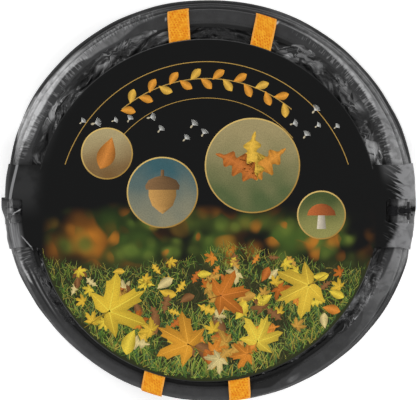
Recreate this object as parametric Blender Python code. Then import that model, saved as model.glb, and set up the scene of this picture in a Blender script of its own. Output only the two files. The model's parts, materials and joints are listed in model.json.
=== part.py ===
"""Pop-up garden waste bag, collapsed flat on its back in its display pack.

Metres, +Z up, the card side on top. A spring wire in a spiral hem joins a base hoop to a top hoop, and two
toggles hold the stack down. The base rim's centre on the resting plane is the origin.
"""

import math

import bmesh
import bpy
from mathutils import Vector

# Clearance between pieces that touch
FIT = 0.0003

# Rims: the base rim is centred on the origin, the top rim is a little smaller and sits off centre
RIM_RADIUS = 0.2685
TOP_RIM_INSET = 0.0065
TOP_RIM_SHIFT = -0.0065
RIM_SIDES = 40

# Spring wire and its crimped sleeves
WIRE_RADIUS = 0.0016
WIRE_SIDES = 8
WIRE_END_GAP = 0.0010
FERRULE_WALL = 0.0006
FERRULE_LENGTH = 0.0140
END_CAP_LENGTH = 0.0090

# Hem: a turned cloth channel round the wire that tapers to its sewn edge
HEM_CLOTH = 0.0008
HEM_WIDTH = 0.0245
HEM_SEAM_WIDTH = 0.0045
HEM_SLIT = 0.0003

# Spiral hem
SPIRAL_TURNS = 2.25
SPIRAL_GAP = 0.0005
SPIRAL_START = math.radians(225.0)
MIN_COIL_GAP = 0.0004

# Base cloth, dished up to leave a recess for the base handle
BASE_CLOTH = 0.0009
BASE_RECESS = 0.0046
BASE_SLOPE_WIDTH = 0.0050

# Wall cloth, folded in between the hoops
FOLD_INNER_RADIUS = 0.1250
FOLD_WAVE = 0.0060
FOLD_COUNT = 18
FOLD_SAMPLES = 4
FOLD_CROWN = 0.0345
FOLD_EDGE = 0.0300
FOLD_RELIEF = 0.0012
FOLD_BANDS = 6
FOLD_SWIRL = 0.5

# Orange handle webbing
WEBBING_WIDTH = 0.0280
WEBBING_THICK = 0.0016
HANDLE_TURN = math.radians(-4.0)
HANDLE_SPACING = 0.1180
HANDLE_REACH = 0.1380
HANDLE_LEAN = math.radians(7.6)
ANCHOR_WRAP = math.radians(125.0)

# Base handle, folded into the recess under the base
BASE_HANDLE_SPACING = 0.0900
BASE_HANDLE_REACH = 0.1200
BASE_PATCH_LENGTH = 0.0320

# Closures: a toggle on a strap end, held by an elastic loop from a tab on the base
CLOSURE_Y = -0.0145
STRAP_THICK = 0.0012
STRAP_WIDTH = 0.0130
NECK_WIDTH = 0.0070
STRAP_LENGTH = 0.0190
NECK_LENGTH = 0.0060
STRAP_HINGE_INSET = 0.0010
TOGGLE_LENGTH = 0.0250
TOGGLE_RADIUS = 0.0028
TOGGLE_CORE = 0.0016
TOGGLE_GROOVE = 0.0080
TOGGLE_ANGLE = math.radians(30.0)
TOGGLE_NOSE_STEP = math.radians(26.0)
CORD_RADIUS = 0.0011
LOOP_HALF_WIDTH = 0.0052
TAB_WIDTH = 0.0280
TAB_THICK = 0.0028
TAB_LENGTH = 0.0065
TAB_Z = 0.0022

# Display card: a disc with two tabs that bend down over the rim
CARD_THICK = 0.0006
CARD_MARGIN = 0.0330
CARD_CENTRE = (-0.0030, -0.0140)
CARD_SIDES = 72
CARD_TAB_WIDTH = 0.1100
CARD_TAB_Y = -0.0080
CARD_TAB_INSET = 0.0055
CARD_TAB_STEPS = 6
CARD_BEND = 0.0076
CARD_BEND_STEPS = 4
CARD_FLANGE = 0.0160
CARD_NOTCH_WIDTH = 0.0320
CARD_NOTCH_INSIDE = {"right": 0.0218, "left": 0.0093}

# Derived sizes
TOP_RIM_RADIUS = RIM_RADIUS - TOP_RIM_INSET
TAB_OUT = RIM_RADIUS + TAB_LENGTH
CARD_RADIUS = TOP_RIM_RADIUS - CARD_MARGIN
CARD_TAB_FLAT = RIM_RADIUS - CARD_TAB_INSET
CHANNEL_RADIUS = WIRE_RADIUS + FIT + FERRULE_WALL + FIT
HEM_TUBE = CHANNEL_RADIUS + HEM_CLOTH
HEM_HEIGHT = 2.0 * HEM_TUBE
HEM_EDGE_HEIGHT = 2.0 * HEM_CLOTH + HEM_SLIT
SPIRAL_Z = HEM_HEIGHT + FIT
SPIRAL_PITCH = HEM_HEIGHT + SPIRAL_GAP
TOP_HEM_Z = SPIRAL_Z + SPIRAL_TURNS * SPIRAL_PITCH + HEM_HEIGHT + SPIRAL_GAP
TOP_TUBE_Z = TOP_HEM_Z + HEM_TUBE
TOP_CREST_Z = TOP_HEM_Z + HEM_HEIGHT
TOP_CREST_RADIUS = TOP_RIM_RADIUS - HEM_TUBE
HANDLE_Z = TOP_CREST_Z + FIT
HANDLE_TOP_Z = HANDLE_Z + WEBBING_THICK
CARD_Z = HANDLE_TOP_Z + FIT
HEM_INNER_RADIUS = RIM_RADIUS - HEM_WIDTH


def make_material(name, colour, roughness, metallic=0.0):
    """A plain Principled material."""
    material = bpy.data.materials.new(name)
    material.use_nodes = True
    shader = material.node_tree.nodes["Principled BSDF"]
    shader.inputs["Base Color"].default_value = (*colour, 1.0)
    shader.inputs["Roughness"].default_value = roughness
    shader.inputs["Metallic"].default_value = metallic
    return material


def make_materials():
    """Every finish of the bag by its slot name."""
    return {
        "coated_cloth": make_material("coated_cloth", (0.020, 0.020, 0.021), 0.55),
        "hem_cloth": make_material("hem_cloth", (0.032, 0.032, 0.033), 0.62),
        "spring_wire": make_material("spring_wire", (0.45, 0.45, 0.46), 0.35, 1.0),
        "ferrule": make_material("ferrule", (0.70, 0.70, 0.72), 0.40, 1.0),
        "orange_webbing": make_material("orange_webbing", (0.86, 0.25, 0.02), 0.80),
        "black_webbing": make_material("black_webbing", (0.012, 0.012, 0.012), 0.80),
        "elastic_cord": make_material("elastic_cord", (0.015, 0.015, 0.015), 0.70),
        "toggle_plastic": make_material("toggle_plastic", (0.010, 0.010, 0.010), 0.40),
        "display_card": make_material("display_card", (0.010, 0.010, 0.010), 0.30),
    }


def frame_at(name, location=(0.0, 0.0, 0.0), turn=0.0, parent=None):
    """An empty that carries the pieces of one body or one local frame."""
    empty = bpy.data.objects.new(name, None)
    empty.empty_display_size = 0.02
    empty.location = location
    empty.rotation_euler = (0.0, 0.0, turn)
    empty.parent = parent
    bpy.context.scene.collection.objects.link(empty)
    return empty


def add_piece(name, bm, material, parent, sharp_angle=35.0):
    """One finished piece from its bmesh, in its parent's frame."""
    bmesh.ops.recalc_face_normals(bm, faces=bm.faces)
    mesh = bpy.data.meshes.new(name)
    bm.to_mesh(mesh)
    bm.free()
    mesh.shade_smooth()
    mesh.set_sharp_from_angle(angle=math.radians(sharp_angle))
    mesh.materials.append(material)
    piece = bpy.data.objects.new(name, mesh)
    piece.parent = parent
    bpy.context.scene.collection.objects.link(piece)
    return piece


def loft(rings, closed=False):
    """A bmesh skinned over equal rings of points, capped at both ends unless it closes on itself."""
    bm = bmesh.new()
    loops = [[bm.verts.new(point) for point in ring] for ring in rings]
    pairs = list(zip(loops, loops[1:]))
    if closed:
        pairs.append((loops[-1], loops[0]))
    else:
        bm.faces.new(loops[0])
        bm.faces.new(loops[-1])
    for first, second in pairs:
        for i in range(len(first)):
            j = (i + 1) % len(first)
            bm.faces.new((first[i], first[j], second[j], second[i]))
    return bm


def lathe(profile, sides=RIM_SIDES):
    """A bmesh turned about Z from an open profile that starts and ends on the axis."""
    bm = bmesh.new()
    loops = []
    for radius, z in profile[1:-1]:
        angles = (2.0 * math.pi * k / sides for k in range(sides))
        loops.append([bm.verts.new((radius * math.cos(a), radius * math.sin(a), z)) for a in angles])
    for first, second in zip(loops, loops[1:]):
        for i in range(sides):
            j = (i + 1) % sides
            bm.faces.new((first[i], first[j], second[j], second[i]))
    for loop, (_, z) in ((loops[0], profile[0]), (loops[-1], profile[-1])):
        pole = bm.verts.new((0.0, 0.0, z))
        for i in range(sides):
            bm.faces.new((loop[i], loop[(i + 1) % sides], pole))
    return bm


def arc(centre, radius, start, stop, steps):
    """Points of an arc in a plane, both ends included."""
    turns = (start + (stop - start) * k / steps for k in range(steps + 1))
    return [(centre[0] + radius * math.cos(t), centre[1] + radius * math.sin(t)) for t in turns]


def offset_path(path, distance):
    """A plane path moved sideways, to the left of its direction."""
    moved = []
    for k, (x, y) in enumerate(path):
        before = Vector(path[max(k - 1, 0)])
        after = Vector(path[min(k + 1, len(path) - 1)])
        along = (after - before).normalized()
        moved.append((x - along.y * distance, y + along.x * distance))
    return moved


def polygon_radius(radius, angle, sides=RIM_SIDES):
    """Distance from the centre to the side of a ring's polygon, along an angle."""
    half = math.pi / sides
    return radius * math.cos(half) / math.cos(angle % (2.0 * half) - half)


def hem_profile():
    """The hem's closed section: u runs in from the rim's edge as negative, z up from the hem's underside."""
    centre = (-HEM_TUBE, HEM_TUBE)
    quarter = math.pi / 2.0
    edge = -HEM_WIDTH
    seam = HEM_SEAM_WIDTH - HEM_WIDTH
    outer = arc(centre, HEM_TUBE, -quarter, quarter, 5)
    channel = arc(centre, CHANNEL_RADIUS, quarter, -quarter, 4)
    upper_edge = HEM_CLOTH + HEM_SLIT
    return [
        (edge, 0.0),
        *outer,
        (seam, HEM_EDGE_HEIGHT + HEM_SLIT),
        (edge, HEM_EDGE_HEIGHT),
        (edge, upper_edge),
        (seam, upper_edge + HEM_SLIT),
        *channel,
        (edge, HEM_CLOTH),
    ]


def round_profile(radius):
    """A round section on the middle of the hem's channel."""
    steps = (2.0 * math.pi * k / WIRE_SIDES for k in range(WIRE_SIDES))
    return [(radius * math.cos(t) - HEM_TUBE, radius * math.sin(t) + HEM_TUBE) for t in steps]


def place_section(section, radius, centre_y, z, angle):
    """A section stood up on a ring at one angle."""
    points = []
    for u, height in section:
        reach = radius + u
        points.append(Vector((reach * math.cos(angle), centre_y + reach * math.sin(angle), z + height)))
    return points


def between(first, second, share):
    """A section part of the way along the straight side between two others."""
    return [a.lerp(b, share) for a, b in zip(first, second)]


def side_length(first, second):
    """Length of the straight side between two sections."""
    return (sum(second, Vector()) - sum(first, Vector())).length / len(first)


def ring_sections(section, radius):
    """A section at every corner of a rim."""
    step = 2.0 * math.pi / RIM_SIDES
    return [place_section(section, radius, 0.0, 0.0, step * k) for k in range(RIM_SIDES)]


def hoop_wire(radius):
    """A hoop of wire, cut in the middle of one side, where its sleeve joins it."""
    corners = ring_sections(round_profile(WIRE_RADIUS), radius)
    last, first = corners[-1], corners[0]
    cut = 0.5 * WIRE_END_GAP / side_length(last, first)
    start = between(last, first, 0.5 + cut)
    stop = between(last, first, 0.5 - cut)
    return loft([start, *corners, stop])


def ferrule(radius):
    """The crimped sleeve over a hoop's two wire ends."""
    bore = ring_sections(round_profile(WIRE_RADIUS + FIT), radius)
    skin = ring_sections(round_profile(WIRE_RADIUS + FIT + FERRULE_WALL), radius)
    half = 0.5 * FERRULE_LENGTH / side_length(bore[-1], bore[0])
    rings = [
        between(skin[-1], skin[0], 0.5 - half),
        between(skin[-1], skin[0], 0.5 + half),
        between(bore[-1], bore[0], 0.5 + half),
        between(bore[-1], bore[0], 0.5 - half),
    ]
    return loft(rings, closed=True)


def stack_ring(z):
    """Radius and centre of the stack's rim at a height, as the rings step in towards the top."""
    share = z / TOP_HEM_Z
    return RIM_RADIUS + (TOP_RIM_RADIUS - RIM_RADIUS) * share, TOP_RIM_SHIFT * share


def spiral_sections(section):
    """A section at every corner of the spiral."""
    count = round(SPIRAL_TURNS * RIM_SIDES)
    sections = []
    for k in range(count + 1):
        turns = SPIRAL_TURNS * k / count
        z = SPIRAL_Z + SPIRAL_PITCH * turns
        radius, centre_y = stack_ring(z)
        sections.append(place_section(section, radius, centre_y, z, SPIRAL_START + 2.0 * math.pi * turns))
    return sections


def spiral_wire():
    """The spring wire, one unbroken coil with both ends short of the hem's."""
    corners = spiral_sections(round_profile(WIRE_RADIUS))
    inset = END_CAP_LENGTH / side_length(corners[0], corners[1])
    start = between(corners[0], corners[1], 0.5 * inset)
    stop = between(corners[-1], corners[-2], 0.5 * inset)
    return loft([start, *corners[1:-1], stop])


def spiral_cap(first, second):
    """A cup over one end of the spiral wire, on the side that runs from one corner to the next."""
    bore = spiral_sections(round_profile(WIRE_RADIUS + FIT))
    skin = spiral_sections(round_profile(WIRE_RADIUS + FIT + FERRULE_WALL))
    unit = 1.0 / side_length(bore[first], bore[second])
    wire_end = 0.5 * END_CAP_LENGTH * unit
    bottom = wire_end - FIT * unit
    mouth = wire_end + END_CAP_LENGTH * unit
    rings = [
        between(skin[first], skin[second], bottom - FERRULE_WALL * unit),
        between(skin[first], skin[second], mouth),
        between(bore[first], bore[second], mouth),
        between(bore[first], bore[second], bottom),
    ]
    return loft(rings)


def coil_gap():
    """Least gap between neighbouring turns of the spiral hem, measured on its points."""
    turns = spiral_sections(hem_profile())
    least = math.inf
    for k in range(len(turns) - RIM_SIDES):
        for low in turns[k]:
            for high in turns[k + RIM_SIDES]:
                if abs(low.x - high.x) < HEM_TUBE and abs(low.y - high.y) < HEM_TUBE:
                    least = min(least, (high - low).length)
    return least


def base_cloth():
    """The round base, raised in the middle and sloped down to the sewn edge of its hem."""
    edge = HEM_INNER_RADIUS - FIT
    shoulder = edge - BASE_SLOPE_WIDTH
    top = BASE_RECESS + BASE_CLOTH
    profile = [
        (0.0, BASE_RECESS),
        (shoulder, BASE_RECESS),
        (edge, FIT),
        (edge, FIT + BASE_CLOTH),
        (shoulder + FIT, top),
        (0.0, top),
    ]
    return lathe(profile)


def fold_height(share, angle):
    """Height of the folded cloth's upper side, from its inner edge at 0 to its outer edge at 1."""
    crown = FOLD_CROWN - (FOLD_CROWN - FOLD_EDGE) * share**3
    swirl = angle + FOLD_SWIRL * share
    pleats = math.sin(FOLD_COUNT * swirl) + 0.5 * math.sin((FOLD_COUNT // 2) * angle + 3.0 * share)
    return crown + FOLD_RELIEF * pleats * (1.0 - 0.5 * share)


def wall_cloth():
    """The wall of the bag folded in between the hoops, as one ring with its main pleats."""
    floor_z = BASE_RECESS + BASE_CLOTH + FIT
    columns = FOLD_COUNT * FOLD_SAMPLES
    flat = math.cos(math.pi / RIM_SIDES)
    rings = []
    for k in range(columns):
        angle = 2.0 * math.pi * k / columns
        inner = FOLD_INNER_RADIUS + FOLD_WAVE * math.sin(FOLD_COUNT * (angle + FOLD_SWIRL))
        low_radius, low_y = stack_ring(floor_z)
        high_radius, high_y = stack_ring(FOLD_EDGE)
        across = Vector((math.cos(angle), math.sin(angle), 0.0))
        low_edge = across * ((low_radius - HEM_WIDTH) * flat - FIT) + Vector((0.0, low_y, floor_z))
        high_edge = across * ((high_radius - HEM_WIDTH) * flat - FIT) + Vector((0.0, high_y, 0.0))
        inner_edge = across * inner
        section = [Vector((*inner_edge.xy, floor_z)), low_edge]
        for band in range(FOLD_BANDS + 1):
            share = 1.0 - band / FOLD_BANDS
            place = inner_edge.lerp(high_edge, share)
            section.append(Vector((place.x, place.y, fold_height(share, angle))))
        rings.append(section)
    return loft(rings, closed=True)


def band_outline(spacing, reach, lean, steps=10):
    """Left and right edges of a flat loop of webbing: two legs that lean in and a round end."""
    half = 0.5 * spacing
    leg = reach - 0.5 * WEBBING_WIDTH
    tilt = math.tan(lean)
    bend = (half - leg * tilt) / (1.0 - tilt)
    straight = leg - bend
    centre = [(half, 0.0), (half - 0.5 * straight * tilt, 0.5 * straight)]
    centre += arc((0.0, straight), half - straight * tilt, 0.0, math.pi, steps)
    centre += [(-x, y) for x, y in reversed(centre[:2])]
    return offset_path(centre, -0.5 * WEBBING_WIDTH), offset_path(centre, 0.5 * WEBBING_WIDTH)


def webbing_loop(outer, inner, low, high):
    """A flat loop of webbing between its two edges."""
    rings = []
    for (ax, ay), (bx, by) in zip(outer, inner):
        rings.append([Vector((ax, ay, low)), Vector((bx, by, low)), Vector((bx, by, high)), Vector((ax, ay, high))])
    return loft(rings)


def handle_hinge_radius():
    """Distance from the top rim's centre to the line through both crossings of the legs and the crest."""
    return math.sqrt(TOP_CREST_RADIUS**2 - (0.5 * HANDLE_SPACING) ** 2)


def crest_inset(along):
    """How far the rim's crest lies inside a handle's hinge line, at a distance along it."""
    return handle_hinge_radius() - math.sqrt(TOP_CREST_RADIUS**2 - along**2)


def leg_cut(along):
    """The slanting cut between a handle's leg and its sewn end, as a distance inside the hinge line."""
    outside = 0.5 * (HANDLE_SPACING + WEBBING_WIDTH)
    share = (abs(along) - outside + WEBBING_WIDTH) / WEBBING_WIDTH
    return share * crest_inset(outside)


def rim_handle(hinge_z):
    """A carrying handle, folded in over the top rim. Y runs in from the hinge line."""
    outer, inner = band_outline(HANDLE_SPACING, HANDLE_REACH, HANDLE_LEAN)
    half = 0.5 * HANDLE_SPACING
    edge = 0.5 * WEBBING_WIDTH
    for side, k in ((1.0, 0), (-1.0, -1)):
        outer[k] = (side * (half + edge), leg_cut(half + edge) + 0.5 * FIT)
        inner[k] = (side * (half - edge), leg_cut(half - edge) + 0.5 * FIT)
    return webbing_loop(outer, inner, HANDLE_Z - hinge_z, HANDLE_TOP_Z - hinge_z)


def handle_anchor(side, hinge_z, samples=4):
    """The sewn end of one handle leg, wrapped down over the outside of the top rim."""
    tube_z = TOP_TUBE_Z - hinge_z
    inner = HEM_TUBE + FIT
    outer = inner + WEBBING_THICK
    quarter = 0.5 * math.pi
    rings = []
    for k in range(samples + 1):
        along = side * (0.5 * HANDLE_SPACING + WEBBING_WIDTH * (k / samples - 0.5))
        crest = crest_inset(along)
        cut = leg_cut(along) - 0.5 * FIT
        under = arc((crest, tube_z), inner, quarter, quarter + ANCHOR_WRAP, 6)
        over = arc((crest, tube_z), outer, quarter + ANCHOR_WRAP, quarter, 6)
        flat = [(cut, tube_z + outer), (cut, tube_z + inner)]
        rings.append([Vector((along, y, z)) for y, z in under + over + flat])
    return loft(rings)


def base_handle_distance():
    """Distance from the centre to the base handle's hinge line, with both legs inside the base's slope."""
    shoulder = (HEM_INNER_RADIUS - FIT - BASE_SLOPE_WIDTH) * math.cos(math.pi / RIM_SIDES) - FIT
    return math.sqrt(shoulder**2 - (0.5 * (BASE_HANDLE_SPACING + WEBBING_WIDTH)) ** 2)


def base_handle(hinge_z):
    """The tipping handle, folded in flat under the base."""
    outer, inner = band_outline(BASE_HANDLE_SPACING, BASE_HANDLE_REACH, 0.0)
    for edge in (outer, inner):
        edge[0] = (edge[0][0], 0.5 * FIT)
        edge[-1] = (edge[-1][0], 0.5 * FIT)
    high = base_patch_z() - FIT
    return webbing_loop(outer, inner, high - WEBBING_THICK - hinge_z, high - hinge_z)


def base_patch_z():
    """Underside of the sewn ends of the base handle."""
    return BASE_RECESS - FIT - WEBBING_THICK


def box_piece(low, high):
    """A plain cut length of webbing."""
    corners = [(low[0], low[1]), (high[0], low[1]), (high[0], high[1]), (low[0], high[1])]
    return loft([[Vector((x, y, z)) for x, y in corners] for z in (low[2], high[2])])


def closure_crest_x():
    """Distance from the closures' middle plane to the crest of the top rim."""
    return math.sqrt(TOP_CREST_RADIUS**2 - (CLOSURE_Y - TOP_RIM_SHIFT) ** 2)


def hem_slope_z(inside):
    """Height of the top hem's upper side at a distance inside its crest."""
    seam = HEM_WIDTH - HEM_SEAM_WIDTH - HEM_TUBE
    seam_z = TOP_HEM_Z + HEM_EDGE_HEIGHT + HEM_SLIT
    if inside < seam:
        return TOP_CREST_Z + (seam_z - TOP_CREST_Z) * inside / seam
    return seam_z


def ribbon(path, widths, thickness):
    """A strip of webbing along a path in the XZ plane, with its own width at each point."""
    over = offset_path(path, 0.5 * thickness)
    under = offset_path(path, -0.5 * thickness)
    rings = []
    for (ax, az), (bx, bz), width in zip(over, under, widths):
        y = 0.5 * width
        rings.append([Vector((ax, -y, az)), Vector((ax, y, az)), Vector((bx, y, bz)), Vector((bx, -y, bz))])
    return loft(rings)


def closure_hinge():
    """The line about which a closure's strap end lifts, over the crest of the top rim."""
    return closure_crest_x() - STRAP_HINGE_INSET, TOP_CREST_Z + FIT + STRAP_THICK + 0.5 * FIT


def closure_patch():
    """The strap's sewn part, lying on the slope of the top hem."""
    crest = closure_crest_x()
    lift = FIT + 0.5 * STRAP_THICK
    hinge_x, _ = closure_hinge()
    stop = crest - hinge_x + 0.5 * FIT
    insides = [STRAP_LENGTH, NECK_LENGTH + STRAP_HINGE_INSET, NECK_LENGTH, stop]
    widths = [STRAP_WIDTH, STRAP_WIDTH, NECK_WIDTH, NECK_WIDTH]
    path = [(crest - inside, hem_slope_z(inside) + lift + FIT) for inside in insides]
    return ribbon(path, widths, STRAP_THICK)


def toggle_place():
    """Middle of the toggle, resting on the loop over the outside of the rim."""
    reach = HEM_TUBE + FIT + 2.0 * CORD_RADIUS + FIT + TOGGLE_RADIUS
    crest = closure_crest_x()
    return crest + reach * math.cos(TOGGLE_ANGLE), TOP_TUBE_Z + reach * math.sin(TOGGLE_ANGLE)


def closure_strap():
    """The strap's free end: over the crest and round the toggle's core."""
    crest = closure_crest_x()
    hinge_x, hinge_z = closure_hinge()
    core_x, core_z = toggle_place()
    bend = HEM_TUBE + FIT + 0.5 * STRAP_THICK
    wrap = TOGGLE_CORE + FIT + 0.5 * STRAP_THICK
    over = arc((crest, TOP_TUBE_Z), bend, 0.5 * math.pi, 0.30 * math.pi, 3)
    eye = arc((core_x, core_z), wrap, 0.75 * math.pi, -0.80 * math.pi, 9)
    path = [(hinge_x + 0.5 * FIT, TOP_TUBE_Z + bend), *over, *eye]
    path = [(x - hinge_x, z - hinge_z) for x, z in path]
    return ribbon(path, [NECK_WIDTH] * len(path), STRAP_THICK)


def toggle(sides=12):
    """The T-bar: two round-ended arms and a thin core, turned along Y."""
    half = 0.5 * TOGGLE_LENGTH
    groove = 0.5 * TOGGLE_GROOVE
    turns = [TOGGLE_NOSE_STEP * k for k in (1, 2, 3)]
    nose = [(half - TOGGLE_RADIUS * (1.0 - math.cos(t)), TOGGLE_RADIUS * math.sin(t)) for t in turns]
    arm = [*nose, (groove + 2.0 * FIT, TOGGLE_RADIUS), (groove, TOGGLE_CORE)]
    profile = arm + [(-y, radius) for y, radius in reversed(arm)]
    rings = []
    for y, radius in profile:
        turns = (2.0 * math.pi * k / sides for k in range(sides))
        rings.append([Vector((radius * math.cos(t), y, radius * math.sin(t))) for t in turns])
    return loft(rings)


def loop_route():
    """The elastic loop's middle line: up from the tab, over the rim, round the strap's neck and back."""
    crest = closure_crest_x()
    hug = HEM_TUBE + FIT + CORD_RADIUS
    foot_z = TAB_Z + TAB_THICK + FIT
    side_gap = 3.0 * FIT + CORD_RADIUS
    low_z = 0.38 * TOP_HEM_Z
    bend_z = hem_slope_z(NECK_LENGTH) + 2.0 * FIT + STRAP_THICK + FIT + CORD_RADIUS
    foot_x = 0.5 * (RIM_RADIUS + TAB_OUT) - FIT
    leg = [(foot_x, foot_z), (foot_x, foot_z + 3.0 * CORD_RADIUS), (foot_x - CORD_RADIUS, 0.26 * TOP_HEM_Z)]
    leg += [(stack_ring(z)[0] + side_gap, z) for z in (low_z, 0.60 * TOP_HEM_Z, 0.85 * TOP_HEM_Z)]
    leg += arc((crest, TOP_TUBE_Z), hug, -0.05 * math.pi, 0.45 * math.pi, 5)
    rising = [(x, LOOP_HALF_WIDTH, z) for x, z in leg]
    turn_x = crest - STRAP_HINGE_INSET
    round_neck = []
    for k in range(1, 8):
        t = math.pi * k / 8.0
        x = turn_x - LOOP_HALF_WIDTH * math.sin(t)
        round_neck.append((x, LOOP_HALF_WIDTH * math.cos(t), bend_z + CORD_RADIUS * (1.0 - math.sin(t))))
    return rising + round_neck + [(x, -y, z) for x, y, z in reversed(rising)]


def add_cord(name, points, radius, material, parent):
    """A round cord along a route, as a curve with filled ends."""
    curve = bpy.data.curves.new(name, "CURVE")
    curve.dimensions = "3D"
    curve.bevel_depth = radius
    curve.bevel_resolution = 2
    curve.use_fill_caps = True
    curve.render_resolution_u = 0
    spline = curve.splines.new("POLY")
    spline.points.add(len(points) - 1)
    for target, point in zip(spline.points, points):
        target.co = (*point, 1.0)
    curve.materials.append(material)
    cord = bpy.data.objects.new(name, curve)
    cord.parent = parent
    bpy.context.scene.collection.objects.link(cord)
    return cord


def closure_tab(side, samples=4):
    """The folded webbing tab on the outside of the base rim."""
    rings = []
    radius = 0.5 * TAB_THICK
    for k in range(samples + 1):
        across = TAB_WIDTH * (k / samples - 0.5)
        y = CLOSURE_Y + side * across
        angle = math.atan2(abs(y), RIM_RADIUS)
        root = polygon_radius(RIM_RADIUS, angle) * math.cos(angle) + FIT
        nose = arc((TAB_OUT - radius, TAB_Z + radius), radius, -0.5 * math.pi, 0.5 * math.pi, 4)
        section = [(root, TAB_Z), *nose, (root, TAB_Z + TAB_THICK)]
        rings.append([Vector((x, across, z)) for x, z in section])
    return loft(rings)


def card_tab_edge(side, notch_x):
    """Plan points of one tab's edge with its notch, from its lower corner to its upper one on +X."""
    half = 0.5 * CARD_TAB_WIDTH
    notch_low = CLOSURE_Y - 0.5 * CARD_NOTCH_WIDTH
    notch_high = CLOSURE_Y + 0.5 * CARD_NOTCH_WIDTH

    def rim(start_y, stop_y):
        """The edge between two heights, where the tab follows the rim before it bends down."""
        turns = [math.asin(y / CARD_TAB_FLAT) for y in (start_y, stop_y)]
        return arc((0.0, 0.0), CARD_TAB_FLAT, *turns, CARD_TAB_STEPS)

    points = [*rim(CARD_TAB_Y - half, notch_low), (notch_x, notch_low)]
    points += [(notch_x, notch_high), *rim(notch_high, CARD_TAB_Y + half)]
    return [(side * x, y) for x, y in (points if side > 0 else reversed(points))]


def display_card():
    """The card's upper disc, tabs and bent flanges as one sheet, before it gets its thickness."""
    low = CARD_TAB_Y - 0.5 * CARD_TAB_WIDTH - CARD_CENTRE[1]
    high = CARD_TAB_Y + 0.5 * CARD_TAB_WIDTH - CARD_CENTRE[1]
    low_turn, high_turn = math.asin(low / CARD_RADIUS), math.asin(high / CARD_RADIUS)
    steps = CARD_SIDES // 2
    outline = card_tab_edge(1, closure_crest_x() - CARD_NOTCH_INSIDE["right"])
    outline += arc(CARD_CENTRE, CARD_RADIUS, high_turn, math.pi - high_turn, steps)
    outline += card_tab_edge(-1, closure_crest_x() - CARD_NOTCH_INSIDE["left"])
    outline += arc(CARD_CENTRE, CARD_RADIUS, math.pi - low_turn, 2.0 * math.pi + low_turn, steps)
    bm = bmesh.new()
    verts = [bm.verts.new((x, y, CARD_Z)) for x, y in outline]
    bm.faces.new(verts)
    for first, second in zip(verts, verts[1:] + verts[:1]):
        plans = [v.co.xy.copy() for v in (first, second)]
        if any(plan.length < CARD_TAB_FLAT - FIT for plan in plans):
            continue
        bend = arc((CARD_TAB_FLAT, CARD_Z - CARD_BEND), CARD_BEND, 0.5 * math.pi, 0.0, CARD_BEND_STEPS)[1:]
        bend.append((bend[-1][0], bend[-1][1] - CARD_FLANGE))
        for reach, z in bend:
            below = [bm.verts.new((*(plan * (reach / CARD_TAB_FLAT)), z)) for plan in plans]
            bm.faces.new((second, first, below[0], below[1]))
            first, second = below
    bmesh.ops.remove_doubles(bm, verts=bm.verts, dist=0.1 * FIT)
    return bm


def add_card(name, material, parent):
    """The display card, given its thickness outwards."""
    bm = display_card()
    bm.faces.ensure_lookup_table()
    upward = bm.faces[0]
    upward.normal_update()
    if upward.normal.z < 0.0:
        bmesh.ops.reverse_faces(bm, faces=bm.faces)
    mesh = bpy.data.meshes.new(name)
    bm.to_mesh(mesh)
    bm.free()
    mesh.materials.append(material)
    card = bpy.data.objects.new(name, mesh)
    card.parent = parent
    solid = card.modifiers.new("thickness", "SOLIDIFY")
    solid.thickness = CARD_THICK
    solid.offset = 1.0
    solid.use_even_offset = True
    bpy.context.scene.collection.objects.link(card)
    return card


def build_base(finish, base):
    """Everything that stays on the ground when the bag opens."""
    add_piece("base_cloth", base_cloth(), finish["coated_cloth"], base)
    add_piece("base_hem", loft(ring_sections(hem_profile(), RIM_RADIUS), True), finish["hem_cloth"], base)
    add_piece("base_hoop_wire", hoop_wire(RIM_RADIUS), finish["spring_wire"], base)
    add_piece("base_ferrule", ferrule(RIM_RADIUS), finish["ferrule"], base)
    add_piece("spiral_end_cap_lower", spiral_cap(0, 1), finish["toggle_plastic"], base)
    add_piece("spiral_hem", loft(spiral_sections(hem_profile())), finish["hem_cloth"], base)
    add_piece("spiral_wire", spiral_wire(), finish["spring_wire"], base)
    add_piece("wall_cloth", wall_cloth(), finish["coated_cloth"], base)


def build_top(finish, top):
    """The top rim, in a frame on its own centre at the height of its underside."""
    add_piece("top_hem", loft(ring_sections(hem_profile(), TOP_RIM_RADIUS), True), finish["hem_cloth"], top)
    add_piece("top_hoop_wire", hoop_wire(TOP_RIM_RADIUS), finish["spring_wire"], top)
    add_piece("top_ferrule", ferrule(TOP_RIM_RADIUS), finish["ferrule"], top)
    level = frame_at("stack_origin", (0.0, -TOP_RIM_SHIFT, -TOP_HEM_Z), 0.0, top)
    add_piece("spiral_end_cap_upper", spiral_cap(-1, -2), finish["toggle_plastic"], level)


def build_rim_handles(finish, top):
    """Both carrying handles and their four sewn ends."""
    hinge_z = HANDLE_TOP_Z + 0.5 * FIT
    orange = finish["orange_webbing"]
    for name, turn in (("back", HANDLE_TURN), ("front", HANDLE_TURN + math.pi)):
        reach = handle_hinge_radius()
        place = (-reach * math.sin(turn), reach * math.cos(turn), hinge_z - TOP_HEM_Z)
        hinge = frame_at(f"handle_{name}_axis", place, turn + math.pi, top)
        add_piece(f"handle_{name}", rim_handle(hinge_z), orange, hinge)
        fixed = frame_at(f"handle_{name}_seat", place, turn + math.pi, top)
        for label, side in (("left", -1.0), ("right", 1.0)):
            add_piece(f"handle_anchor_{name}_{label}", handle_anchor(side, hinge_z), orange, fixed)


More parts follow.
